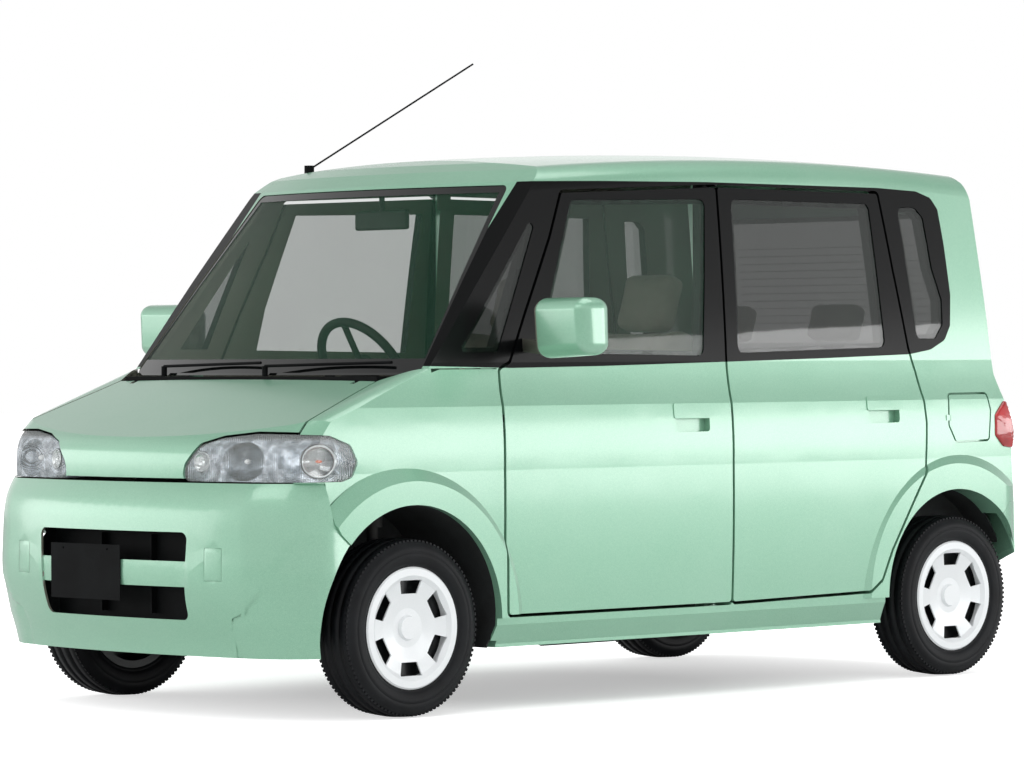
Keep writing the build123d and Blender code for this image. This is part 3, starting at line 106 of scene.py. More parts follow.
def put(name, data):
    """A mesh, camera or light as an object in the scene."""
    placed = bpy.data.objects.new(name, data)
    bpy.context.scene.collection.objects.link(placed)
    return placed


def coat(piece, finish):
    """One finish over a whole piece."""
    piece.data.materials.clear()
    piece.data.materials.append(finish)


def give(finish, *names):
    """Puts a finish on CAD nodes."""
    for name in names:
        coat(cad[name], finish)


# Finishes: colours as sRGB hex values, and places in metres
PAINT, PAINT_SHADE, PAINT_BLOOM, GLOSS_BLACK, LINER = "8FC3A6", "7BB294", "9AC5AD", "08090A", "77786C"
ENAMEL = "0A0C0C"

# where the side of the cabin is finished in gloss black: heights over the length of the car
BELT = [(-1.06, 1.040), (-0.689, 1.032), (-0.320, 1.036), (0.240, 1.047), (0.682, 1.056), (1.124, 1.068),
        (1.235, 1.083), (1.311, 1.115), (1.347, 1.170), (1.352, 1.265)]
RAIL = [(-1.06, 1.000), (-1.030, 1.030), (-0.636, 1.588), (-0.600, 1.600), (-0.268, 1.608), (0.190, 1.615),
        (1.012, 1.615), (1.208, 1.608), (1.280, 1.588), (1.314, 1.551), (1.334, 1.432), (1.352, 1.265)]
BAND_FRONT, BAND_BACK, BAND_INNER = -1.045, 1.352, 0.60
FLAKE_SCALE = 900.0
FLUTE_PITCH = 0.009
COVER_BACK = 0.684


def car_paint(name, banded):
    """Metallic enamel under clear lacquer: fine bright flakes in a pale green, a sharp wet gloss over it.
    The cabin's window band is the same lacquer over black, and the inner faces are moulded trim."""
    finish, tree, shader, place = new_finish(name, PAINT, 0.38, 0.0, Coat_Weight=1.0, Coat_Roughness=0.14,
                                             Coat_IOR=1.7)
    spot = place.outputs["Object"]
    x, y, z = add_node(tree, AXES, (spot,)).outputs
    faces = add_node(tree, AXES, (place.outputs["Normal"],), 0)
    sign = add_node(tree, MATH, (x, 0.0), 0, operation="SIGN")
    outward = add_node(tree, MATH, (faces, sign), 0, operation="MULTIPLY")
    # flakes about 1 mm apart, coarser than the real ones so that they show
    flakes = add_node(tree, "ShaderNodeTexVoronoi", {"Scale": FLAKE_SCALE, "Vector": spot}, "Color")
    sparkle = add_node(tree, RANGE, (flakes, 0.2, 0.9, 0.0, 1.0), 0)
    cloud = add_node(tree, NOISE, {"Scale": 3.0, "Detail": 2.0, "Vector": spot}, 0)
    bloom = add_node(tree, RANGE, (cloud, 0.3, 0.7, 0.0, 0.25), 0)
    green = add_node(tree, MIX, {0: sparkle, 6: PAINT_SHADE, 7: PAINT}, 2, data_type="RGBA")
    green = add_node(tree, MIX, {0: bloom, 6: green, 7: PAINT_BLOOM}, 2, data_type="RGBA")
    # the black band lies between the belt and the rail, from the screen to the last pillar
    over_belt = add_node(tree, MATH, (z, polyline_height(tree, y, BELT)), 0, operation="SUBTRACT")
    under_rail = add_node(tree, MATH, (polyline_height(tree, y, RAIL), z), 0, operation="SUBTRACT")
    out = add_node(tree, MATH, (x,), 0, operation="ABSOLUTE")
    band = banded
    for term, test, limit in ((over_belt, "GREATER_THAN", 0.0), (under_rail, "GREATER_THAN", 0.0),
                              (y, "LESS_THAN", BAND_BACK), (y, "GREATER_THAN", BAND_FRONT),
                              (out, "GREATER_THAN", BAND_INNER)):
        holds = add_node(tree, MATH, (term, limit), 0, operation=test)
        band = add_node(tree, MATH, (band, holds), 0, operation="MULTIPLY")
    outer = add_node(tree, MIX, {0: band, 6: green, 7: GLOSS_BLACK}, 2, data_type="RGBA")
    inner = add_node(tree, MATH, (outward, -0.25), 0, operation="LESS_THAN")
    colour = add_node(tree, MIX, {0: inner, 6: outer, 7: LINER}, 2, data_type="RGBA")
    tree.links.new(colour, shader.inputs["Base Color"])
    green_share = add_node(tree, MATH, (1.0, band), 0, operation="SUBTRACT")
    green_share = add_node(tree, MATH, (green_share, inner), 0, operation="SUBTRACT")
    for socket, share, low, high in (("Metallic", green_share, 0.0, 0.3), ("Roughness", inner, 0.36, 0.75),
                                     ("Coat Weight", band, 1.0, 0.08),
                                     ("Specular IOR Level", band, 0.5, 0.08)):
        level = add_node(tree, RANGE, (share, 0.0, 1.0, low, high), 0)
        tree.links.new(level, shader.inputs[socket])
    peel = add_node(tree, NOISE, {"Scale": 260.0, "Detail": 2.0, "Vector": spot}, 0)
    relief = add_node(tree, BUMP, {"Strength": 0.02, "Distance": 0.0004, "Height": peel}, 0)
    tree.links.new(relief, shader.inputs["Normal"])
    return finish


def tinted_glass(name, tint, lighter, alpha, border=None):
    """Float glass with a green tint and a fired black enamel border, which hides its glue line."""
    finish, tree, shader, place = new_finish(name, tint, 0.03, 0.0, IOR=1.52, Coat_Weight=0.6,
                                             Coat_Roughness=0.0)
    ripple = add_node(tree, NOISE, {"Scale": 4.0, "Detail": 2.0, "Vector": place.outputs["Object"]}, 0)
    cloud = add_node(tree, RANGE, (ripple, 0.3, 0.7, 0.0, 1.0), 0)
    clear = add_node(tree, MIX, {0: cloud, 6: tint, 7: lighter}, 2, data_type="RGBA")
    shader.inputs["Alpha"].default_value = alpha
    if border:
        mask = border(tree, place)
        clear = add_node(tree, MIX, {0: mask, 6: clear, 7: ENAMEL}, 2, data_type="RGBA")
        opaque = add_node(tree, RANGE, (mask, 0.0, 1.0, alpha, 1.0), 0)
        tree.links.new(opaque, shader.inputs["Alpha"])
    tree.links.new(clear, shader.inputs["Base Color"])
    return finish


def moulded(name, colour, lighter, roughness, grain_mm=0.6, depth=0.15, metallic=0.0, **sockets):
    """Injection-moulded plastic or painted casting: an even colour broken by a fine spark-eroded grain."""
    finish, tree, shader, place = new_finish(name, colour, roughness, metallic, **sockets)
    spot = place.outputs["Object"]
    grain = add_node(tree, NOISE, {"Scale": 1000.0 / grain_mm, "Detail": 1.0, "Vector": spot}, 0)
    cloud = add_node(tree, NOISE, {"Scale": 12.0, "Detail": 3.0, "Vector": spot}, 0)
    share = add_node(tree, RANGE, (cloud, 0.35, 0.65, 0.0, 1.0), 0)
    tone = add_node(tree, MIX, {0: share, 6: colour, 7: lighter}, 2, data_type="RGBA")
    tree.links.new(tone, shader.inputs["Base Color"])
    sheen = add_node(tree, RANGE, (grain, 0.3, 0.7, max(roughness - 0.06, 0.02), roughness + 0.06), 0)
    tree.links.new(sheen, shader.inputs["Roughness"])
    relief = add_node(tree, BUMP, {"Strength": depth, "Distance": grain_mm * 0.0005, "Height": grain}, 0)
    tree.links.new(relief, shader.inputs["Normal"])
    return finish


def fluted_reflector():
    """Vacuum-metallised reflector pressed in upright flutes, with a darker moulded top edge."""
    finish, tree, shader, place = new_finish("aluminised_fluted_reflector", "9AA2AA", 0.13, 0.95)
    spot = place.outputs["Object"]
    x, y, z = add_node(tree, AXES, (spot,)).outputs
    out = add_node(tree, MATH, (x,), 0, operation="ABSOLUTE")
    along = add_node(tree, MATH, (out, y), 0, operation="ADD")
    turns = add_node(tree, MATH, (along, 2 * math.pi / FLUTE_PITCH), 0, operation="MULTIPLY")
    wave = add_node(tree, MATH, (turns,), 0, operation="SINE")
    cloud = add_node(tree, NOISE, {"Scale": 30.0, "Detail": 3.0, "Vector": spot}, 0)
    share = add_node(tree, RANGE, (cloud, 0.35, 0.65, 0.0, 1.0), 0)
    top = add_node(tree, RANGE, (z, 0.822, 0.832, 0.0, 1.0), 0)
    bright = add_node(tree, MIX, {0: share, 6: "5F6973", 7: "C6CED6"}, 2, data_type="RGBA")
    tone = add_node(tree, MIX, {0: top, 6: bright, 7: "3B4044"}, 2, data_type="RGBA")
    tree.links.new(tone, shader.inputs["Base Color"])
    metal = add_node(tree, RANGE, (top, 0.0, 1.0, 0.95, 0.2), 0)
    tree.links.new(metal, shader.inputs["Metallic"])
    height = add_node(tree, RANGE, (wave, -1.0, 1.0, 0.0, 1.0), 0)
    relief = add_node(tree, BUMP, {"Strength": 0.9, "Distance": 0.0030, "Height": height}, 0)
    tree.links.new(relief, shader.inputs["Normal"])
    return finish


def wheel_cover_paint():
    """Silver lacquer on the moulded cover, satin with fine flakes; the pressed wheel behind it is painted
    near black, which also serves as painted shade deep in the cover's openings.
    """
    finish, tree, shader, place = new_finish("painted_abs_silver", "E9ECEE", 0.34, 0.0, Coat_Weight=0.4,
                                             Coat_Roughness=0.1)
    spot = place.outputs["Object"]
    x = add_node(tree, AXES, (spot,), 0)
    out = add_node(tree, MATH, (x,), 0, operation="ABSOLUTE")
    # everything behind the cover's back turns near black: the wheel's own dark paint, and painted shade
    # inside the cover's openings
    behind = add_node(tree, MATH, (out, COVER_BACK), 0, operation="LESS_THAN")
    flakes = add_node(tree, NOISE, {"Scale": 700.0, "Detail": 1.0, "Vector": spot}, 0)
    silver = add_node(tree, MIX, {0: flakes, 6: "E2E6E9", 7: "F4F6F7"}, 2, data_type="RGBA")
    tone = add_node(tree, MIX, {0: behind, 6: silver, 7: "101214"}, 2, data_type="RGBA")
    tree.links.new(tone, shader.inputs["Base Color"])
    metal = add_node(tree, RANGE, (behind, 0.0, 1.0, 0.08, 0.0), 0)
    tree.links.new(metal, shader.inputs["Metallic"])
    peel = add_node(tree, NOISE, {"Scale": 900.0, "Detail": 2.0, "Vector": spot}, 0)
    relief = add_node(tree, BUMP, {"Strength": 0.03, "Distance": 0.0003, "Height": peel}, 0)
    tree.links.new(relief, shader.inputs["Normal"])
    return finish


def screen_border(half_low, half_high, low, high):
    """Black enamel round a screen: outside a trapezium of half widths and heights, in metres."""
    def mask(tree, place):
        x, _, z = add_node(tree, AXES, (place.outputs["Object"],)).outputs
        out = add_node(tree, MATH, (x,), 0, operation="ABSOLUTE")
        half = add_node(tree, RANGE, (z, low, high, half_low, half_high), 0)
        past = add_node(tree, MATH, (out, half), 0, operation="SUBTRACT")
        covered = add_node(tree, MATH, (past, 0.0), 0, operation="GREATER_THAN")
        for limit, test in ((low, "LESS_THAN"), (high, "GREATER_THAN")):
            end = add_node(tree, MATH, (z, limit), 0, operation=test)
            covered = add_node(tree, MATH, (covered, end), 0, operation="ADD")
        return add_node(tree, MATH, (covered, 1.0), 0, operation="MINIMUM")
    return mask


paint = car_paint("metallic_enamel_pale_green", 1.0)
plain_paint = car_paint("metallic_enamel_pale_green_plain", 0.0)
screen_glass = tinted_glass("laminated_glass_green_tint", "1C4F38", "245C43", 0.16,
                            screen_border(0.655, 0.558, 1.062, 1.568))
side_glass = tinted_glass("toughened_glass_green_tint", "1E3D2E", "264A38", 0.30)
privacy_glass = tinted_glass("toughened_glass_smoked", "131C18", "18241E", 0.55)
rear_glass = tinted_glass("toughened_glass_black_edge", "131C18", "18241E", 0.50,
                          screen_border(0.585, 0.545, 1.11, 1.53))
# clear hard-coated plastic, seen only by the sky in it
lens_clear = moulded("polycarbonate_clear_lens", "E9F1EE", "F4F8F6", 0.04, 3.0, 0.0, IOR=1.58, Alpha=0.10,
                     Coat_Weight=1.0, Coat_Roughness=0.0)
# white frosted bulbs and an amber one, glossy under their frost
bulb_glass = moulded("lamp_bulb_frosted_glass", "F2F4F4", "FFFFFF", 0.15, 1.0, 0.05, Coat_Weight=0.5)
amber_glass = moulded("turn_bulb_amber", "D2571E", "E06A2A", 0.15, 1.0, 0.05, Coat_Weight=0.5)
# dull brown metal lines fired onto the glass
screen_print = moulded("fired_silver_print", "6B4A35", "7A5640", 0.5, 0.5, 0.05, 0.3)
# bright mirror metal for the rims and bowls
reflector = moulded("aluminised_reflector", "C6CBCC", "DADEDF", 0.12, 2.0, 0.05, 0.95)
fluted = fluted_reflector()
# deep red plastic with a wet shine
lens_red = moulded("acrylic_red_lens", "9E0B12", "C4161C", 0.08, 4.0, 0.1, Coat_Weight=1.0,
                   Coat_Roughness=0.02)
# flat black plastic that shows little but its grain
black_grained = moulded("polypropylene_black_grained", "090A0B", "0F1112", 0.6, Specular_IOR_Level=0.08)
# dark leathery cabin plastic
dark_trim = moulded("polypropylene_dark_trim", "2B2D2A", "343633", 0.6, 0.9, 0.3, Specular_IOR_Level=0.2)
# rough brushed underseal, almost without shine
floor_coat = moulded("underseal_black", "1A1C1C", "26292A", 0.8, 3.0, 0.5)
# dark sand-cast metal with a coarse skin
cast_metal = moulded("cast_iron_dark", "2B2C2C", "3A3938", 0.65, 2.5, 0.5, 0.7)
cover_silver = wheel_cover_paint()
# blue-black rubber, soft in its highlights
rubber = moulded("moulded_tyre_rubber", "0D0E11", "15171A", 0.5, 1.2, 0.2, Specular_IOR_Level=0.2)
# warm grey woven cloth with a faint pile
cloth = moulded("woven_seat_fabric", "A8A293", "B8B2A4", 0.9, 1.6, 0.6, Sheen_Weight=0.3)

sides = ("left", "right")
corners = ("front_left", "front_right", "rear_left", "rear_right")
give(paint, *[f"body_side_{s}" for s in sides], *[f"front_door_{s}" for s in sides],
     *[f"rear_door_{s}" for s in sides])
give(plain_paint, *[f"door_mirror_{s}" for s in sides], "front_fenders", "bonnet", "roof", "tailgate",
     "front_bumper", "rear_bumper", "fuel_lid")
give(screen_glass, "windscreen")
give(side_glass, *[f"front_door_glass_{s}" for s in sides])
give(privacy_glass, *[f"rear_door_glass_{s}" for s in sides], "fixed_side_glass")
give(rear_glass, "tailgate_glass")
give(lens_clear, "headlamp_lenses")
give(reflector, "headlamps")
give(lens_red, "tail_lamps")
give(black_grained, "cowl", "grille", "aerial", "wipers")
give(dark_trim, "dashboard", "interior_mirror", "steering_wheel")
give(cloth, "front_seats", "rear_seat")
give(floor_coat, "underbody")
give(cast_metal, "engine", "front_suspension", "rear_axle", "exhaust", "knuckle_left", "knuckle_right")
for corner in corners:
    give(cover_silver, f"wheel_{corner}")
    give(rubber, f"tyre_{corner}")


# Tyres: a turned carcass with tread blocks round both shoulders
def lathe(name, profile, steps, axis_place, facing):
    """A closed ring turned about the car's cross axis from (outward, radius) points."""
    mesh = bpy.data.meshes.new(name)
    shape = bmesh.new()
    rings = []
    for step in range(steps):
        turn = 2 * math.pi * step / steps
        rings.append([shape.verts.new((axis_place[0] + facing * x, axis_place[1] + r * math.cos(turn),
                                       axis_place[2] + r * math.sin(turn))) for x, r in profile])
    for step in range(steps):
        here, there = rings[step], rings[(step + 1) % steps]
        for i in range(len(profile)):
            k = (i + 1) % len(profile)
            shape.faces.new((here[i], here[k], there[k], there[i]))
    bmesh.ops.recalc_face_normals(shape, faces=shape.faces)
    for face in shape.faces:
        face.smooth = True
    shape.to_mesh(mesh)
    shape.free()
    return put(name, mesh)


TYRE_R, TYRE_W, BEAD_R = 0.266, 0.157, 0.170
TREAD_BLOCKS, TYRE_STEPS = 104, 144


def tyre_profile():
    """Half section mirrored: bead, two fine rings on the wall, shoulder, and grooves round the tread."""
    half = TYRE_W / 2
    # how far in from the side, and how far out from the bead, in metres
    steps = [(0.016, -0.006), (0.015, 0.004), (0.011, 0.010), (0.0075, 0.016), (0.0085, 0.0175),
             (0.0065, 0.019), (0.003, 0.030), (0.0008, 0.043), (0.0, 0.052), (0.0015, 0.0535),
             (0.0006, 0.055), (0.002, 0.066), (0.006, 0.077), (0.0085, 0.0795), (0.010, 0.084),
             (0.015, 0.089)]
    wall = [(half - inset, BEAD_R + rise) for inset, rise in steps] + [(half - 0.022, TYRE_R - 0.0042)]
    tread = []
    for middle in (0.036, 0.0):
        crown = TYRE_R - middle ** 2 * 1.6
        tread += [(middle + 0.0045, crown - 0.0006), (middle + 0.0035, crown - 0.0065)]
        if middle:
            tread += [(middle - 0.0035, crown - 0.0065), (middle - 0.0045, crown)]
    half_profile = wall + tread
    return half_profile + [(-x, r) for x, r in reversed(half_profile)]


def shoulder_blocks(name, place):
    """Tread blocks round both shoulders, set out by a geometry tree so that their count has one place."""
    tree = bpy.data.node_groups.new(name, "GeometryNodeTree")
    tree.is_modifier = True
    for label, kind in (("Blocks", "NodeSocketInt"), ("Radius", "NodeSocketFloat")):
        tree.interface.new_socket(label, in_out="INPUT", socket_type=kind)
    tree.interface.new_socket("Geometry", in_out="OUTPUT", socket_type="NodeSocketGeometry")
    given = add_node(tree, "NodeGroupInput")
    circle = add_node(tree, "GeometryNodeMeshCircle", {"Vertices": given.outputs["Blocks"],
                                                       "Radius": given.outputs["Radius"]}, "Mesh")
    spot = add_node(tree, "GeometryNodeInputPosition", out="Position")
    aim = add_node(tree, "FunctionNodeAlignRotationToVector", {"Vector": spot}, "Rotation",
                   axis="X", pivot_axis="Z")
    block = add_node(tree, "GeometryNodeMeshCube", {"Size": (0.0060, 0.0085, 0.026)}, "Mesh")
    pair = add_node(tree, "GeometryNodeJoinGeometry")
    for side in (-1, 1):
        lean = add_node(tree, "GeometryNodeTransform", {
            "Translation": (0.0, 0.0, side * 0.0555), "Rotation": (0.0, side * 0.16, 0.0),
            "Geometry": block}, "Geometry")
        tree.links.new(lean, pair.inputs["Geometry"])
    ring = add_node(tree, "GeometryNodeInstanceOnPoints", {
        "Points": circle, "Instance": pair.outputs["Geometry"], "Rotation": aim}, "Instances")
    real = add_node(tree, "GeometryNodeRealizeInstances", {"Geometry": ring}, "Geometry")
    stood = add_node(tree, "GeometryNodeTransform", {
        "Rotation": (0.0, math.pi / 2, 0.0), "Translation": place, "Geometry": real}, "Geometry")
    coated = add_node(tree, "GeometryNodeSetMaterial", {"Material": rubber, "Geometry": stood}, "Geometry")
    add_node(tree, "NodeGroupOutput", {"Geometry": coated})
    piece = put(name, bpy.data.meshes.new(name))
    modifier = piece.modifiers.new("blocks", "NODES")
    modifier.node_group = tree
    for item in tree.interface.items_tree:
        if item.in_out == "INPUT":
            modifier[item.identifier] = {"Blocks": TREAD_BLOCKS, "Radius": TYRE_R - 0.0098}[item.name]
    return flatten(piece)


def flatten(piece):
    """The evaluated piece as a plain mesh, with its modifiers gone."""
    graph = bpy.context.evaluated_depsgraph_get()
    mesh = bpy.data.meshes.new_from_object(piece.evaluated_get(graph))
    piece.modifiers.clear()
    piece.data = mesh
    return piece


for corner in corners:
    low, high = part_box(f"tyre_{corner}")
    hub = (low + high) / 2
    carcass = lathe(f"tyre_carcass_{corner}", tyre_profile(), TYRE_STEPS, hub,
                    1 if corner.endswith("left") else -1)
    coat(carcass, rubber)
    blocks = shoulder_blocks(f"tread_blocks_{corner}", hub)
    for piece in (carcass, blocks):
        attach(piece, f"wheel_{corner}")
        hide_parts(f"tyre_{corner}")


# Headlamps: bowls cut into the lamp body, lined with fluted reflectors, with bulbs at their middles
def hit(node, origin, direction):
    """Where a straight look at a CAD node first meets it, and the outward face direction there."""
    met, spot, normal, _ = cad[node].ray_cast(Vector(origin), Vector(direction).normalized())
    if not met:
        raise ValueError(f"{node}: nothing met from {origin}")
    return spot, normal


def new_piece(name, shape, finish, smooth=True):
    """A bmesh as a piece in the scene, its faces turned outwards."""
    bmesh.ops.recalc_face_normals(shape, faces=shape.faces)
    mesh = bpy.data.meshes.new(name)
    for face in shape.faces:
        face.smooth = smooth
    shape.to_mesh(mesh)
    shape.free()
    mesh.materials.append(finish)
    return put(name, mesh)


def turned(shape, place, axis, profile, steps=48, stretch=1.0):
    """Adds a closed form turned from (radius, along) points about an axis, stretched sideways."""
    along = Vector(axis).normalized()
    across = along.cross(Vector((0, 0, 1))).normalized()
    upward = across.cross(along)
    rings = []
    for step in range(steps):
        turn = 2 * math.pi * step / steps
        out = across * math.cos(turn) * stretch + upward * math.sin(turn)
        rings.append([shape.verts.new(Vector(place) + out * r + along * a) for r, a in profile])
    for step in range(steps):
        here, there = rings[step], rings[(step + 1) % steps]
        for i in range(len(profile) - 1):
            shape.faces.new((here[i], here[i + 1], there[i + 1], there[i]))
    for end in (0, -1):
        shape.faces.new([ring[end] for ring in rings])
    bmesh.ops.remove_doubles(shape, verts=shape.verts, dist=MERGE)


# each bowl of the left lamp: where a look at the lamp starts and which way it goes, the way the bowl
# faces, its radius, its sideways stretch and its depth
BOWLS = {"position_lamp": ((0.345, -2.0, 0.762), (0, 1, 0), (0.25, -1.0, 0.05), 0.031, 1.0, 0.030),
         "main_beam": ((0.500, -2.0, 0.764), (0, 1, 0), (0.45, -1.0, 0.05), 0.058, 1.35, 0.060),
         "turn_signal": ((2.0, -1.462, 0.764), (-1, 0, 0), (0.80, -0.62, 0.05), 0.052, 1.05, 0.045)}

lamp_shapes = bmesh.new()
cutters = bmesh.new()
bulbs = bmesh.new()
amber = bmesh.new()
for side in (1, -1):
    for name, (origin, look, axis, radius, stretch, depth) in BOWLS.items():
        turn_x = Vector((side, 1, 1))
        spot, _ = hit("headlamps", Vector(origin) * turn_x, Vector(look) * turn_x)
        aim = (Vector(axis) * turn_x).normalized()
        dish = [(radius * math.sin(a), -0.012 - depth * math.cos(a)) for a in
                [math.pi / 2 * k / 8 for k in range(8, 0, -1)]]
        turned(cutters, spot + aim * 0.012, aim, [(radius, 0.012), (radius, 0.0)] + dish, 48, stretch)
        seat = spot - aim * 0.001
        if name == "position_lamp":
            turned(lamp_shapes, seat, aim, [(radius - 0.001, 0.0), (radius - 0.003, 0.004),
                                            (radius - 0.005, 0.0), (radius - 0.004, -0.006)], 48, stretch)
        turned(bulbs, seat - aim * depth * 0.55, aim, [(0.001, 0.014), (0.006, 0.011), (0.008, 0.002),
                                                       (0.006, -0.012), (0.001, -0.014)], 20)
        if name == "turn_signal":
            turned(amber, seat - aim * depth * 0.50, aim, [(0.001, 0.022), (0.010, 0.018), (0.013, 0.004),
                                                           (0.010, -0.016), (0.001, -0.018)], 24, 2.2)
            turned(lamp_shapes, seat, aim, [(radius - 0.003, -0.002), (radius - 0.004, 0.004),
                                            (radius - 0.008, 0.004), (radius - 0.009, -0.002)], 64, stretch)

housing_mesh = cad["headlamps"].data.copy()
housing = put("headlamp_reflectors", housing_mesh)
merged = bmesh.new()
merged.from_mesh(housing_mesh)
bmesh.ops.remove_doubles(merged, verts=merged.verts, dist=MERGE)
merged.to_mesh(housing_mesh)
merged.free()
cutter = new_piece("bowl_cutters", cutters, reflector)
cut = housing.modifiers.new("bowls", "BOOLEAN")
cut.operation, cut.solver, cut.object = "DIFFERENCE", "EXACT", cutter
flatten(housing)
bpy.data.objects.remove(cutter)
coat(housing, fluted)
pieces = [(housing, "headlamps"), (new_piece("reflector_rims", lamp_shapes, reflector), "headlamps"),
          (new_piece("lamp_bulbs", bulbs, bulb_glass), "headlamps"),
          (new_piece("turn_bulbs", amber, amber_glass), "headlamps")]
for piece, node in pieces:
    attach(piece, "body")
    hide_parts(node)


# Seats: stuffed forms made by a cloth simulation inside the CAD seats' places, then sewn
def soft_form(name, centre, half, lean, round_off):
    """A rounded block with an even fine skin, leaning back by an angle, ready to be stuffed."""
    shape = bmesh.new()
    bmesh.ops.create_cube(shape, size=2.0)
    bmesh.ops.scale(shape, vec=half, verts=shape.verts)
    bmesh.ops.bevel(shape, geom=shape.edges[:], offset=round_off, segments=4, profile=0.6, affect="EDGES")
    turn = Matrix.Translation(centre) @ Matrix.Rotation(-lean, 4, "X")
    bmesh.ops.transform(shape, matrix=turn, verts=shape.verts)
    mesh = bpy.data.meshes.new(name)
    shape.to_mesh(mesh)
    shape.free()
    piece = put(name, mesh)
    skin = piece.modifiers.new("even_skin", "REMESH")
    skin.mode, skin.voxel_size = "VOXEL", 0.008
    return flatten(piece)


def stuff(pieces, cap):
    """Cloth under pressure for twenty frames, each point held to a cap; one pass for all pieces."""
    scene = bpy.context.scene
    scene.frame_start, scene.frame_end = 1, 20
    for piece in pieces:
        cloth_sim = piece.modifiers.new("stuffing", "CLOTH")
        cloth_sim.settings.quality = 4
        cloth_sim.settings.use_pressure = True
        cloth_sim.settings.uniform_pressure_force = 4
        cloth_sim.settings.effector_weights.gravity = 0
        cloth_sim.point_cache.frame_end = 20
    for number in range(1, 21):
        scene.frame_set(number)
    graph = bpy.context.evaluated_depsgraph_get()
    for piece in pieces:
        swollen = [v.co.copy() for v in piece.evaluated_get(graph).data.vertices]
        for vertex, target in zip(piece.data.vertices, swollen):
            step = target - vertex.co
            vertex.co += step * min(1.0, cap / max(step.length, 1e-6))
        piece.modifiers.clear()
    scene.frame_set(1)


def sew(piece, centre, lean, channels, depth=0.007, width=0.007):
    """Sewn channels: rows of stitching pull the cover in, each at one place on an axis of the pad."""
    into = (Matrix.Translation(centre) @ Matrix.Rotation(-lean, 4, "X")).inverted()
    moves = []
    for vertex in piece.data.vertices:
        spot = into @ vertex.co
        pull = sum(math.exp(-((getattr(spot, way) - at) / width) ** 2) for way, at in channels)
        moves.append(vertex.co - vertex.normal * depth * min(pull, 1.0))
    for vertex, spot in zip(piece.data.vertices, moves):
        vertex.co = spot


def dress(piece, node, finish):
    """Finish, smooth faces and the frame's calls for one piece that stands for a CAD node."""
    coat(piece, finish)
    for face in piece.data.polygons:
        face.use_smooth = True
    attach(piece, "body")
    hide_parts(node)


def copy_across(piece, name, shift):
    """The same pad on the other seat."""
    other = put(name, piece.data.copy())
    other.data.transform(Matrix.Translation((shift, 0, 0)))
    return other


# how far the backrests lean, the most that the stuffing swells a pad, and how full the pads are
LEAN, SWELL, FILL = math.radians(18), 0.024, 0.8


def back_centre(hinge_y, foot_z, height):
    return Vector((0, hinge_y + math.sin(LEAN) * height / 2, foot_z + math.cos(LEAN) * height / 2))


front_low, front_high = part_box("front_seats")
rear_low, rear_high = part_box("rear_seat")
seat_x = front_high.x - 0.240
front_cushion_at = Vector((seat_x, front_low.y + 0.235, 0.560))
front_back_at = back_centre(front_low.y + 0.425, 0.575, 0.620) + Vector((seat_x, 0, 0))
rear_cushion_at = Vector((0, rear_low.y + 0.235, 0.586))
rear_back_at = back_centre(rear_low.y + 0.425, 0.600, 0.540)
rear_half = (rear_high.x - rear_low.x) / 2
# each form: its middle, its half sizes, its lean and its rounding
forms = [soft_form("front_cushion_left", front_cushion_at, (0.222, 0.218, 0.062), 0.0, 0.040),
         soft_form("front_backrest_left", front_back_at, (0.220, 0.048, 0.300), LEAN, 0.042),
         soft_form("rear_cushion", rear_cushion_at, (rear_half - 0.018, 0.218, 0.062), 0.0, 0.040),
         soft_form("rear_backrest", rear_back_at, (rear_half - 0.020, 0.048, 0.262), LEAN, 0.042)]
rest_at = front_back_at + Vector((0, math.sin(LEAN), math.cos(LEAN))) * 0.385
rear_rest_at = rear_back_at + Vector((0.25, math.sin(LEAN) * 0.335, math.cos(LEAN) * 0.335))
forms += [soft_form("front_head_restraint_left", rest_at, (0.108, 0.042, 0.092), LEAN, 0.036),
          soft_form("rear_head_restraint_left", rear_rest_at, (0.105, 0.036, 0.062), LEAN, 0.030)]
stuff(forms, SWELL)
sew(forms[0], front_cushion_at, 0.0, (("x", -0.125), ("x", 0.125), ("y", 0.085)))
sew(forms[1], front_back_at, LEAN, (("x", -0.125), ("x", 0.125), ("z", 0.150)))
sew(forms[2], rear_cushion_at, 0.0, (("x", 0.0), ("x", -0.27), ("x", 0.27)))
sew(forms[3], rear_back_at, LEAN, (("x", 0.0), ("x", -0.27), ("x", 0.27), ("z", 0.150)))
pads = [(form, "front_seats" if "front" in form.name else "rear_seat") for form in forms]
pads += [(copy_across(forms[0], "front_cushion_right", -2 * seat_x), "front_seats"),
         (copy_across(forms[1], "front_backrest_right", -2 * seat_x), "front_seats"),
         (copy_across(forms[4], "front_head_restraint_right", -2 * seat_x), "front_seats"),
         (copy_across(forms[5], "rear_head_restraint_right", -0.50), "rear_seat")]
for pad, node in pads:
    fine = pad.modifiers.new("fine", "SUBSURF")
    fine.levels = fine.render_levels = 1
    flatten(pad)
    dress(pad, node, cloth)


def seat_base(name, node, low, high):
    """A pressed and painted pedestal under a cushion, with rolled edges."""
    shape = bmesh.new()
    bmesh.ops.create_cube(shape, size=1.0)
    middle = [(a + b) / 2 for a, b in zip(low, high)]
    bmesh.ops.scale(shape, vec=[b - a for a, b in zip(low, high)], verts=shape.verts)
    bmesh.ops.translate(shape, vec=middle, verts=shape.verts)
    for vertex in shape.verts:
        if vertex.co.z < middle[2]:
            vertex.co.x += 0.02 * (1 if vertex.co.x > middle[0] else -1)
    bmesh.ops.bevel(shape, geom=shape.edges[:], offset=0.015, segments=3, profile=0.5, affect="EDGES")
    mesh = bpy.data.meshes.new(name)
    shape.to_mesh(mesh)
    shape.free()
    piece = put(name, mesh)
    dress(piece, node, dark_trim)


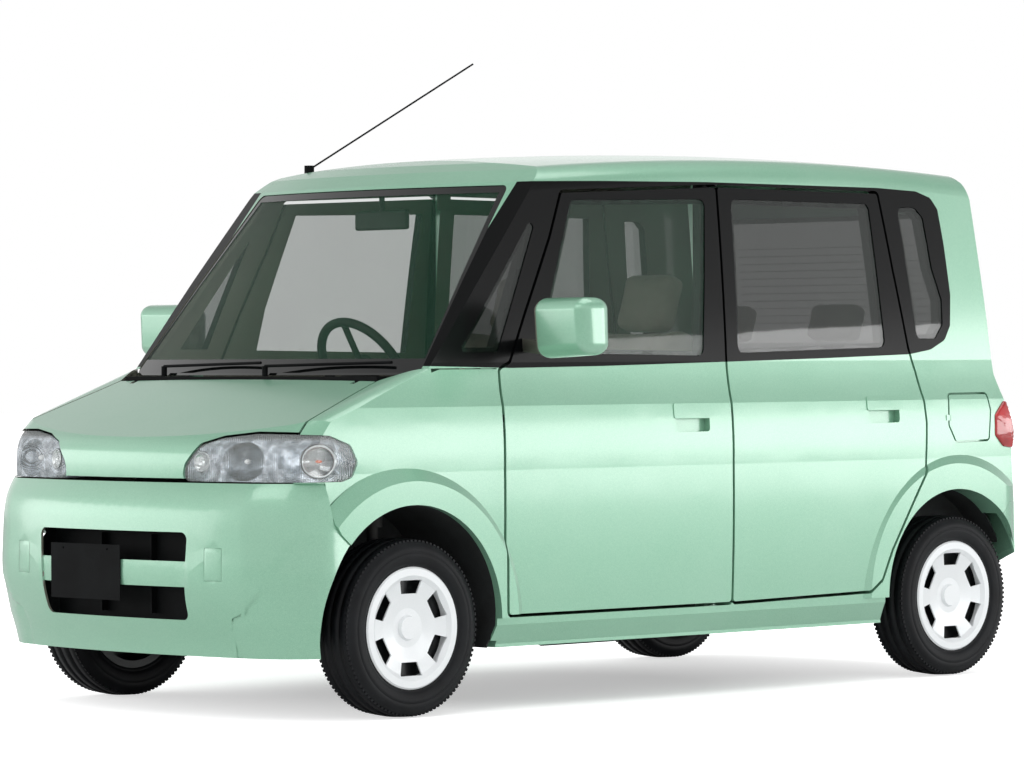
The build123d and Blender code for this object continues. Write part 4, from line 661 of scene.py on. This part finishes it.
for side, x in (("left", seat_x), ("right", -seat_x)):
    seat_base(f"front_pedestal_{side}", "front_seats", (x - 0.165, front_low.y + 0.065, front_low.z),
              (x + 0.165, front_low.y + 0.410, 0.520))
seat_base("rear_pedestal", "rear_seat", (-rear_half + 0.08, rear_low.y + 0.065, rear_low.z),
          (rear_half - 0.08, rear_low.y + 0.410, 0.545))


# Thin trim that the CAD leaves out
RIBBON_SINK = 0.0005
DEMISTER_LINES = 11


def ribbon(shape, spots, normals, width, thick):
    """Adds a flat strip along points of a surface, standing on it by its thickness."""
    rows = []
    for i, (spot, normal) in enumerate(zip(spots, normals)):
        ahead = (spots[min(i + 1, len(spots) - 1)] - spots[max(i - 1, 0)]).normalized()
        side = ahead.cross(normal).normalized() * width / 2
        under, over = normal * -RIBBON_SINK, normal * thick
        rows.append([shape.verts.new(p) for p in (spot - side + under, spot - side + over,
                                                  spot + side + over, spot + side + under)])
    for here, there in zip(rows, rows[1:]):
        for i in range(4):
            k = (i + 1) % 4
            shape.faces.new((here[i], here[k], there[k], there[i]))
    shape.faces.new(rows[0])
    shape.faces.new(rows[-1])


def demister():
    """Heated lines printed on the rear glass: one strip repeated down the glass by a geometry tree."""
    top, _ = hit("tailgate_glass", (0, 2.5, 1.44), (0, -1, 0))
    low, _ = hit("tailgate_glass", (0, 2.5, 1.18), (0, -1, 0))
    strip = bmesh.new()
    spots, normals = [], []
    for k in range(25):
        spot, normal = hit("tailgate_glass", (-0.46 + 0.92 * k / 24, 2.5, 1.44), (0, -1, 0))
        spots.append(spot - normal * 0.0002)
        normals.append(normal)
    ribbon(strip, spots, normals, 0.0016, 0.0004)
    one = new_piece("demister_strip", strip, screen_print)
    tree = bpy.data.node_groups.new("demister_lines", "GeometryNodeTree")
    tree.is_modifier = True
    for label, kind in (("Geometry", "NodeSocketGeometry"), ("Lines", "NodeSocketInt"),
                        ("Step", "NodeSocketVector")):
        tree.interface.new_socket(label, in_out="INPUT", socket_type=kind)
    tree.interface.new_socket("Geometry", in_out="OUTPUT", socket_type="NodeSocketGeometry")
    given = add_node(tree, "NodeGroupInput")
    row = add_node(tree, "GeometryNodeMeshLine", {"Count": given.outputs["Lines"],
                                                  "Offset": given.outputs["Step"]}, "Mesh")
    copies = add_node(tree, "GeometryNodeInstanceOnPoints", {
        "Points": row, "Instance": given.outputs["Geometry"]}, "Instances")
    real = add_node(tree, "GeometryNodeRealizeInstances", {"Geometry": copies}, "Geometry")
    coated = add_node(tree, "GeometryNodeSetMaterial", {"Material": screen_print, "Geometry": real},
                      "Geometry")
    add_node(tree, "NodeGroupOutput", {"Geometry": coated})
    modifier = one.modifiers.new("lines", "NODES")
    modifier.node_group = tree
    for item in tree.interface.items_tree:
        if item.in_out == "INPUT" and item.name in ("Lines", "Step"):
            step = (low - top) / (DEMISTER_LINES - 1)
            modifier[item.identifier] = {"Lines": DEMISTER_LINES, "Step": step}[item.name]
    return flatten(one)


lines = demister()
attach(lines, "tailgate")


# Forms that the CAD keeps plainer than the photograph: made from merged copies of its own pieces
def merged_copy(node, name):
    """A copy of a CAD node's mesh with its loose triangles joined."""
    piece = put(name, cad[node].data.copy())
    shape = bmesh.new()
    shape.from_mesh(piece.data)
    bmesh.ops.remove_doubles(shape, verts=shape.verts, dist=MERGE)
    shape.to_mesh(piece.data)
    shape.free()
    return piece


def smooth_by_angle(piece, degrees):
    """Smooth faces, with edges sharper than an angle kept crisp."""
    for face in piece.data.polygons:
        face.use_smooth = True
    piece.data.set_sharp_from_angle(angle=math.radians(degrees))


# the front bumper's plain form: height, foremost point, half width and corner radius, in metres
BUMPER_LEVELS = [(0.120, -1.622, 0.7117, 0.2352), (0.210, -1.645, 0.7242, 0.2401),
                 (0.287, -1.668, 0.7316, 0.245), (0.420, -1.6975, 0.7360, 0.245),
                 (0.560, -1.694, 0.7301, 0.2401), (0.660, -1.678, 0.7132, 0.2205)]
BOW = 2.6
ARCH_Y, ARCH_Z, ARCH_REACH, SWELL_START = -1.125, 0.280, 0.50, -1.30


def bumper_side(y, z):
    """How far out the bumper's plain form reaches at a place along the car and a height."""
    for (z0, *low), (z1, *high) in zip(BUMPER_LEVELS, BUMPER_LEVELS[1:]):
        if z <= z1:
            break
    share = min(max((z - z0) / (z1 - z0), 0.0), 1.0)
    tip, half, corner = (a + (b - a) * share for a, b in zip(low, high))
    rise = half ** 2 / (2 * BOW)
    bow = (half ** 2 + rise ** 2) / (2 * rise)
    middle = tip + bow - math.sqrt((bow - corner) ** 2 - (half - corner) ** 2)
    if y >= middle:
        return half
    return half - corner + math.sqrt(max(corner ** 2 - (middle - y) ** 2, 0.0))


# the CAD's wheel arch swells onto the bumper, where the photograph's bumper runs plain to its edge
bumper = merged_copy("front_bumper", "front_bumper_skin")
fine = bmesh.new()
fine.from_mesh(bumper.data)


def on_swell(point):
    """Whether a place is outside the plain form, beside the wheel arch."""
    near = math.hypot(point.y - ARCH_Y, point.z - ARCH_Z) < ARCH_REACH
    return near and point.y < SWELL_START and abs(point.x) > bumper_side(point.y, point.z) + 0.0003


for _ in range(4):
    long_edges = [e for e in fine.edges
                  if e.calc_length() > 0.025 and any(on_swell(v.co) for v in e.verts)]
    bmesh.ops.subdivide_edges(fine, edges=long_edges, cuts=1)
    bmesh.ops.triangulate(fine, faces=[f for f in fine.faces if len(f.verts) > 3])
for vertex in fine.verts:
    if on_swell(vertex.co):
        vertex.co.x = math.copysign(bumper_side(vertex.co.y, vertex.co.z), vertex.co.x)
fine.to_mesh(bumper.data)
fine.free()
smooth_by_angle(bumper, 22)
even = bumper.modifiers.new("even_normals", "WEIGHTED_NORMAL")
even.mode, even.weight, even.keep_sharp = "FACE_AREA", 90, True
flatten(bumper)
coat(bumper, plain_paint)
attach(bumper, "body")
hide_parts("front_bumper")

# the photograph's mirrors are longer along the car than the CAD's, and lean out at their tops
MIRROR_ROOT, MIRROR_TIP, MIRROR_REACH = 0.805, 1.045, 0.230
MIRROR_FOOT, MIRROR_HEIGHT, MIRROR_OLD_Y, MIRROR_Y = 1.071, 0.171, -0.573, -0.601
MIRROR_LEAN = 0.012
for side in sides:
    shell = merged_copy(f"door_mirror_{side}", f"mirror_shell_{side}")
    for vertex in shell.data.vertices:
        if abs(vertex.co.x) > MIRROR_ROOT:
            rise = (vertex.co.z - MIRROR_FOOT) / MIRROR_HEIGHT
            vertex.co.y = MIRROR_Y + (vertex.co.y - MIRROR_OLD_Y) * (1.30 + 0.12 * rise)
            inner = (MIRROR_TIP - abs(vertex.co.x)) / MIRROR_REACH
            vertex.co.z -= MIRROR_LEAN * inner * (1 - rise)
            vertex.co.x += math.copysign(MIRROR_LEAN * (rise - 0.6), vertex.co.x)
    smooth_by_angle(shell, 40)
    coat(shell, plain_paint)
    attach(shell, f"front_door_{side}")
    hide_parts(f"door_mirror_{side}")

# the photograph's tail lamps bulge like pressed domes
LAMP_MIDDLE, LAMP_HALF, LAMP_FRONT, BULGE = 0.833, 0.085, 1.530, 0.012
lamp = merged_copy("tail_lamps", "tail_lamp_domes")
skin = lamp.modifiers.new("even_skin", "REMESH")
skin.mode, skin.voxel_size = "VOXEL", 0.004
flatten(lamp)
for vertex in lamp.data.vertices:
    x, y, z = vertex.co
    if math.copysign(1, x) * vertex.normal.x > 0.2 or vertex.normal.y > 0.5:
        near = max(0.0, 1 - ((z - LAMP_MIDDLE) / LAMP_HALF) ** 2)
        near *= min(1.0, max(0.0, (y - LAMP_FRONT) / 0.05))
        vertex.co.x += math.copysign(BULGE * near ** 0.5, x)
        vertex.co.y += BULGE / 2 * near ** 0.5 * max(0.0, vertex.normal.y)
for face in lamp.data.polygons:
    face.use_smooth = True
coat(lamp, lens_red)
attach(lamp, "body")
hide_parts("tail_lamps")


# Camera, floor and light
def aim_camera():
    """The photograph's own camera: place, heading and focal length found from points of the car."""
    azimuth, pitch, roll = math.radians(46.3293), math.radians(0.32237), math.radians(-0.26721)
    ahead = Vector((-math.sin(azimuth) * math.cos(pitch), math.cos(azimuth) * math.cos(pitch),
                    -math.sin(pitch)))
    across = ahead.cross(Vector((0, 0, 1))).normalized()
    upright = across.cross(ahead)
    right = across * math.cos(roll) + upright * math.sin(roll)
    up = upright * math.cos(roll) - across * math.sin(roll)
    camera = put("camera", bpy.data.cameras.new("camera"))
    turn = Matrix((right, up, -ahead)).transposed().to_4x4()
    camera.matrix_world = Matrix.Translation((10.65434, -10.19440, 1.06464)) @ turn
    camera.data.sensor_width = 36
    wide, focal = 1024, 4558.0
    camera.data.lens = focal / wide * camera.data.sensor_width
    camera.data.shift_x, camera.data.shift_y = (512 - 511.70) / wide, (382.83 - 384) / wide
    camera.data.clip_start, camera.data.clip_end = 0.1, 200
    bpy.context.scene.camera = camera


def lay_floor():
    """A pale studio floor, and the same pale tone all round for the camera."""
    mesh = bpy.data.meshes.new("studio_floor")
    mesh.from_pydata([(-60, -60, 0), (60, -60, 0), (60, 60, 0), (-60, 60, 0)], [], [(0, 1, 2, 3)])
    floor = put("studio_floor", mesh)
    finish, tree, shader, place = new_finish("studio_paper_white", "F4F5F5", 0.9)
    spot = place.outputs["Object"]
    fibre = add_node(tree, NOISE, {"Scale": 2.0, "Detail": 2.0, "Vector": spot}, 0)
    tone = add_node(tree, MIX, {0: fibre, 6: "F3F4F4", 7: "F6F7F7"}, 2, data_type="RGBA")
    tree.links.new(tone, shader.inputs["Base Color"])
    # the paper burns out to plain white a few metres from the car, and keeps its shadow near it
    away = add_node(tree, "ShaderNodeVectorMath", (spot,), "Value", operation="LENGTH")
    rays = add_node(tree, "ShaderNodeLightPath")
    glow = add_node(tree, RANGE, (away, 0.6, 2.6, 0.42, 1.0), 0)
    shown = add_node(tree, MATH, (glow, rays.outputs["Is Camera Ray"]), 0, operation="MULTIPLY")
    tree.links.new(shown, shader.inputs["Emission Strength"])
    shader.inputs["Emission Color"].default_value = (1, 1, 1, 1)
    mesh.materials.append(finish)


def light_studio():
    """A white surround that lights from above more than from the floor, with a long box over each side."""
    world = bpy.data.worlds.new("studio")
    bpy.context.scene.world = world
    world.use_nodes = True
    tree = world.node_tree
    tree.nodes.clear()
    place = add_node(tree, "ShaderNodeTexCoord", out="Generated")
    _, along, aloft = add_node(tree, AXES, (place,)).outputs
    rays = add_node(tree, "ShaderNodeLightPath")
    # bright from the horizon to half way up and darker overhead, so that upright panels shine and the
    # bonnet holds its colour
    lifted = add_node(tree, RANGE, (along, -0.2, 0.4, 0.0, 0.30), 0)
    rise = add_node(tree, MATH, (aloft, lifted), 0, operation="ADD")
    overhead = add_node(tree, RANGE, (rise, 0.45, 0.80, 1.0, 0.42), 0)
    ground = add_node(tree, RANGE, (aloft, -0.3, 0.02, 0.35, 1.0), 0)
    sky = add_node(tree, MATH, (overhead, ground), 0, operation="MINIMUM")
    seen = add_node(tree, MATH, (rays.outputs["Is Camera Ray"], rays.outputs["Is Transmission Ray"]), 0,
                    operation="MAXIMUM")
    strength = add_node(tree, MATH, (seen, sky), 0, operation="MAXIMUM")
    background = add_node(tree, "ShaderNodeBackground", {"Color": "FFFFFF", "Strength": strength}, 0)
    out = add_node(tree, "ShaderNodeOutputWorld", {"Surface": background})
    tree.nodes.active = out
    # each light: its place, its size and its watts
    for name, spot, size, power in (("side_box", (8.5, 7.5, 1.15), (9.0, 1.7), 190),
                                    ("front_box", (-7.5, -7.5, 1.6), (8.0, 2.4), 110),
                                    ("nose_box", (2.0, -6.5, 6.0), (7.0, 3.0), 110),
                                    ("top_box", (1.5, 0.5, 6.5), (6.0, 5.0), 150)):
        lamp = bpy.data.lights.new(name, "AREA")
        lamp.shape, lamp.size, lamp.size_y, lamp.energy = "RECTANGLE", size[0], size[1], power
        holder = put(name, lamp)
        holder.location = spot
        holder.rotation_euler = (Vector((0, 0, 0.8)) - Vector(spot)).to_track_quat("-Z", "Y").to_euler()


bpy.context.scene.view_settings.view_transform = "Standard"
aim_camera()
lay_floor()
light_studio()
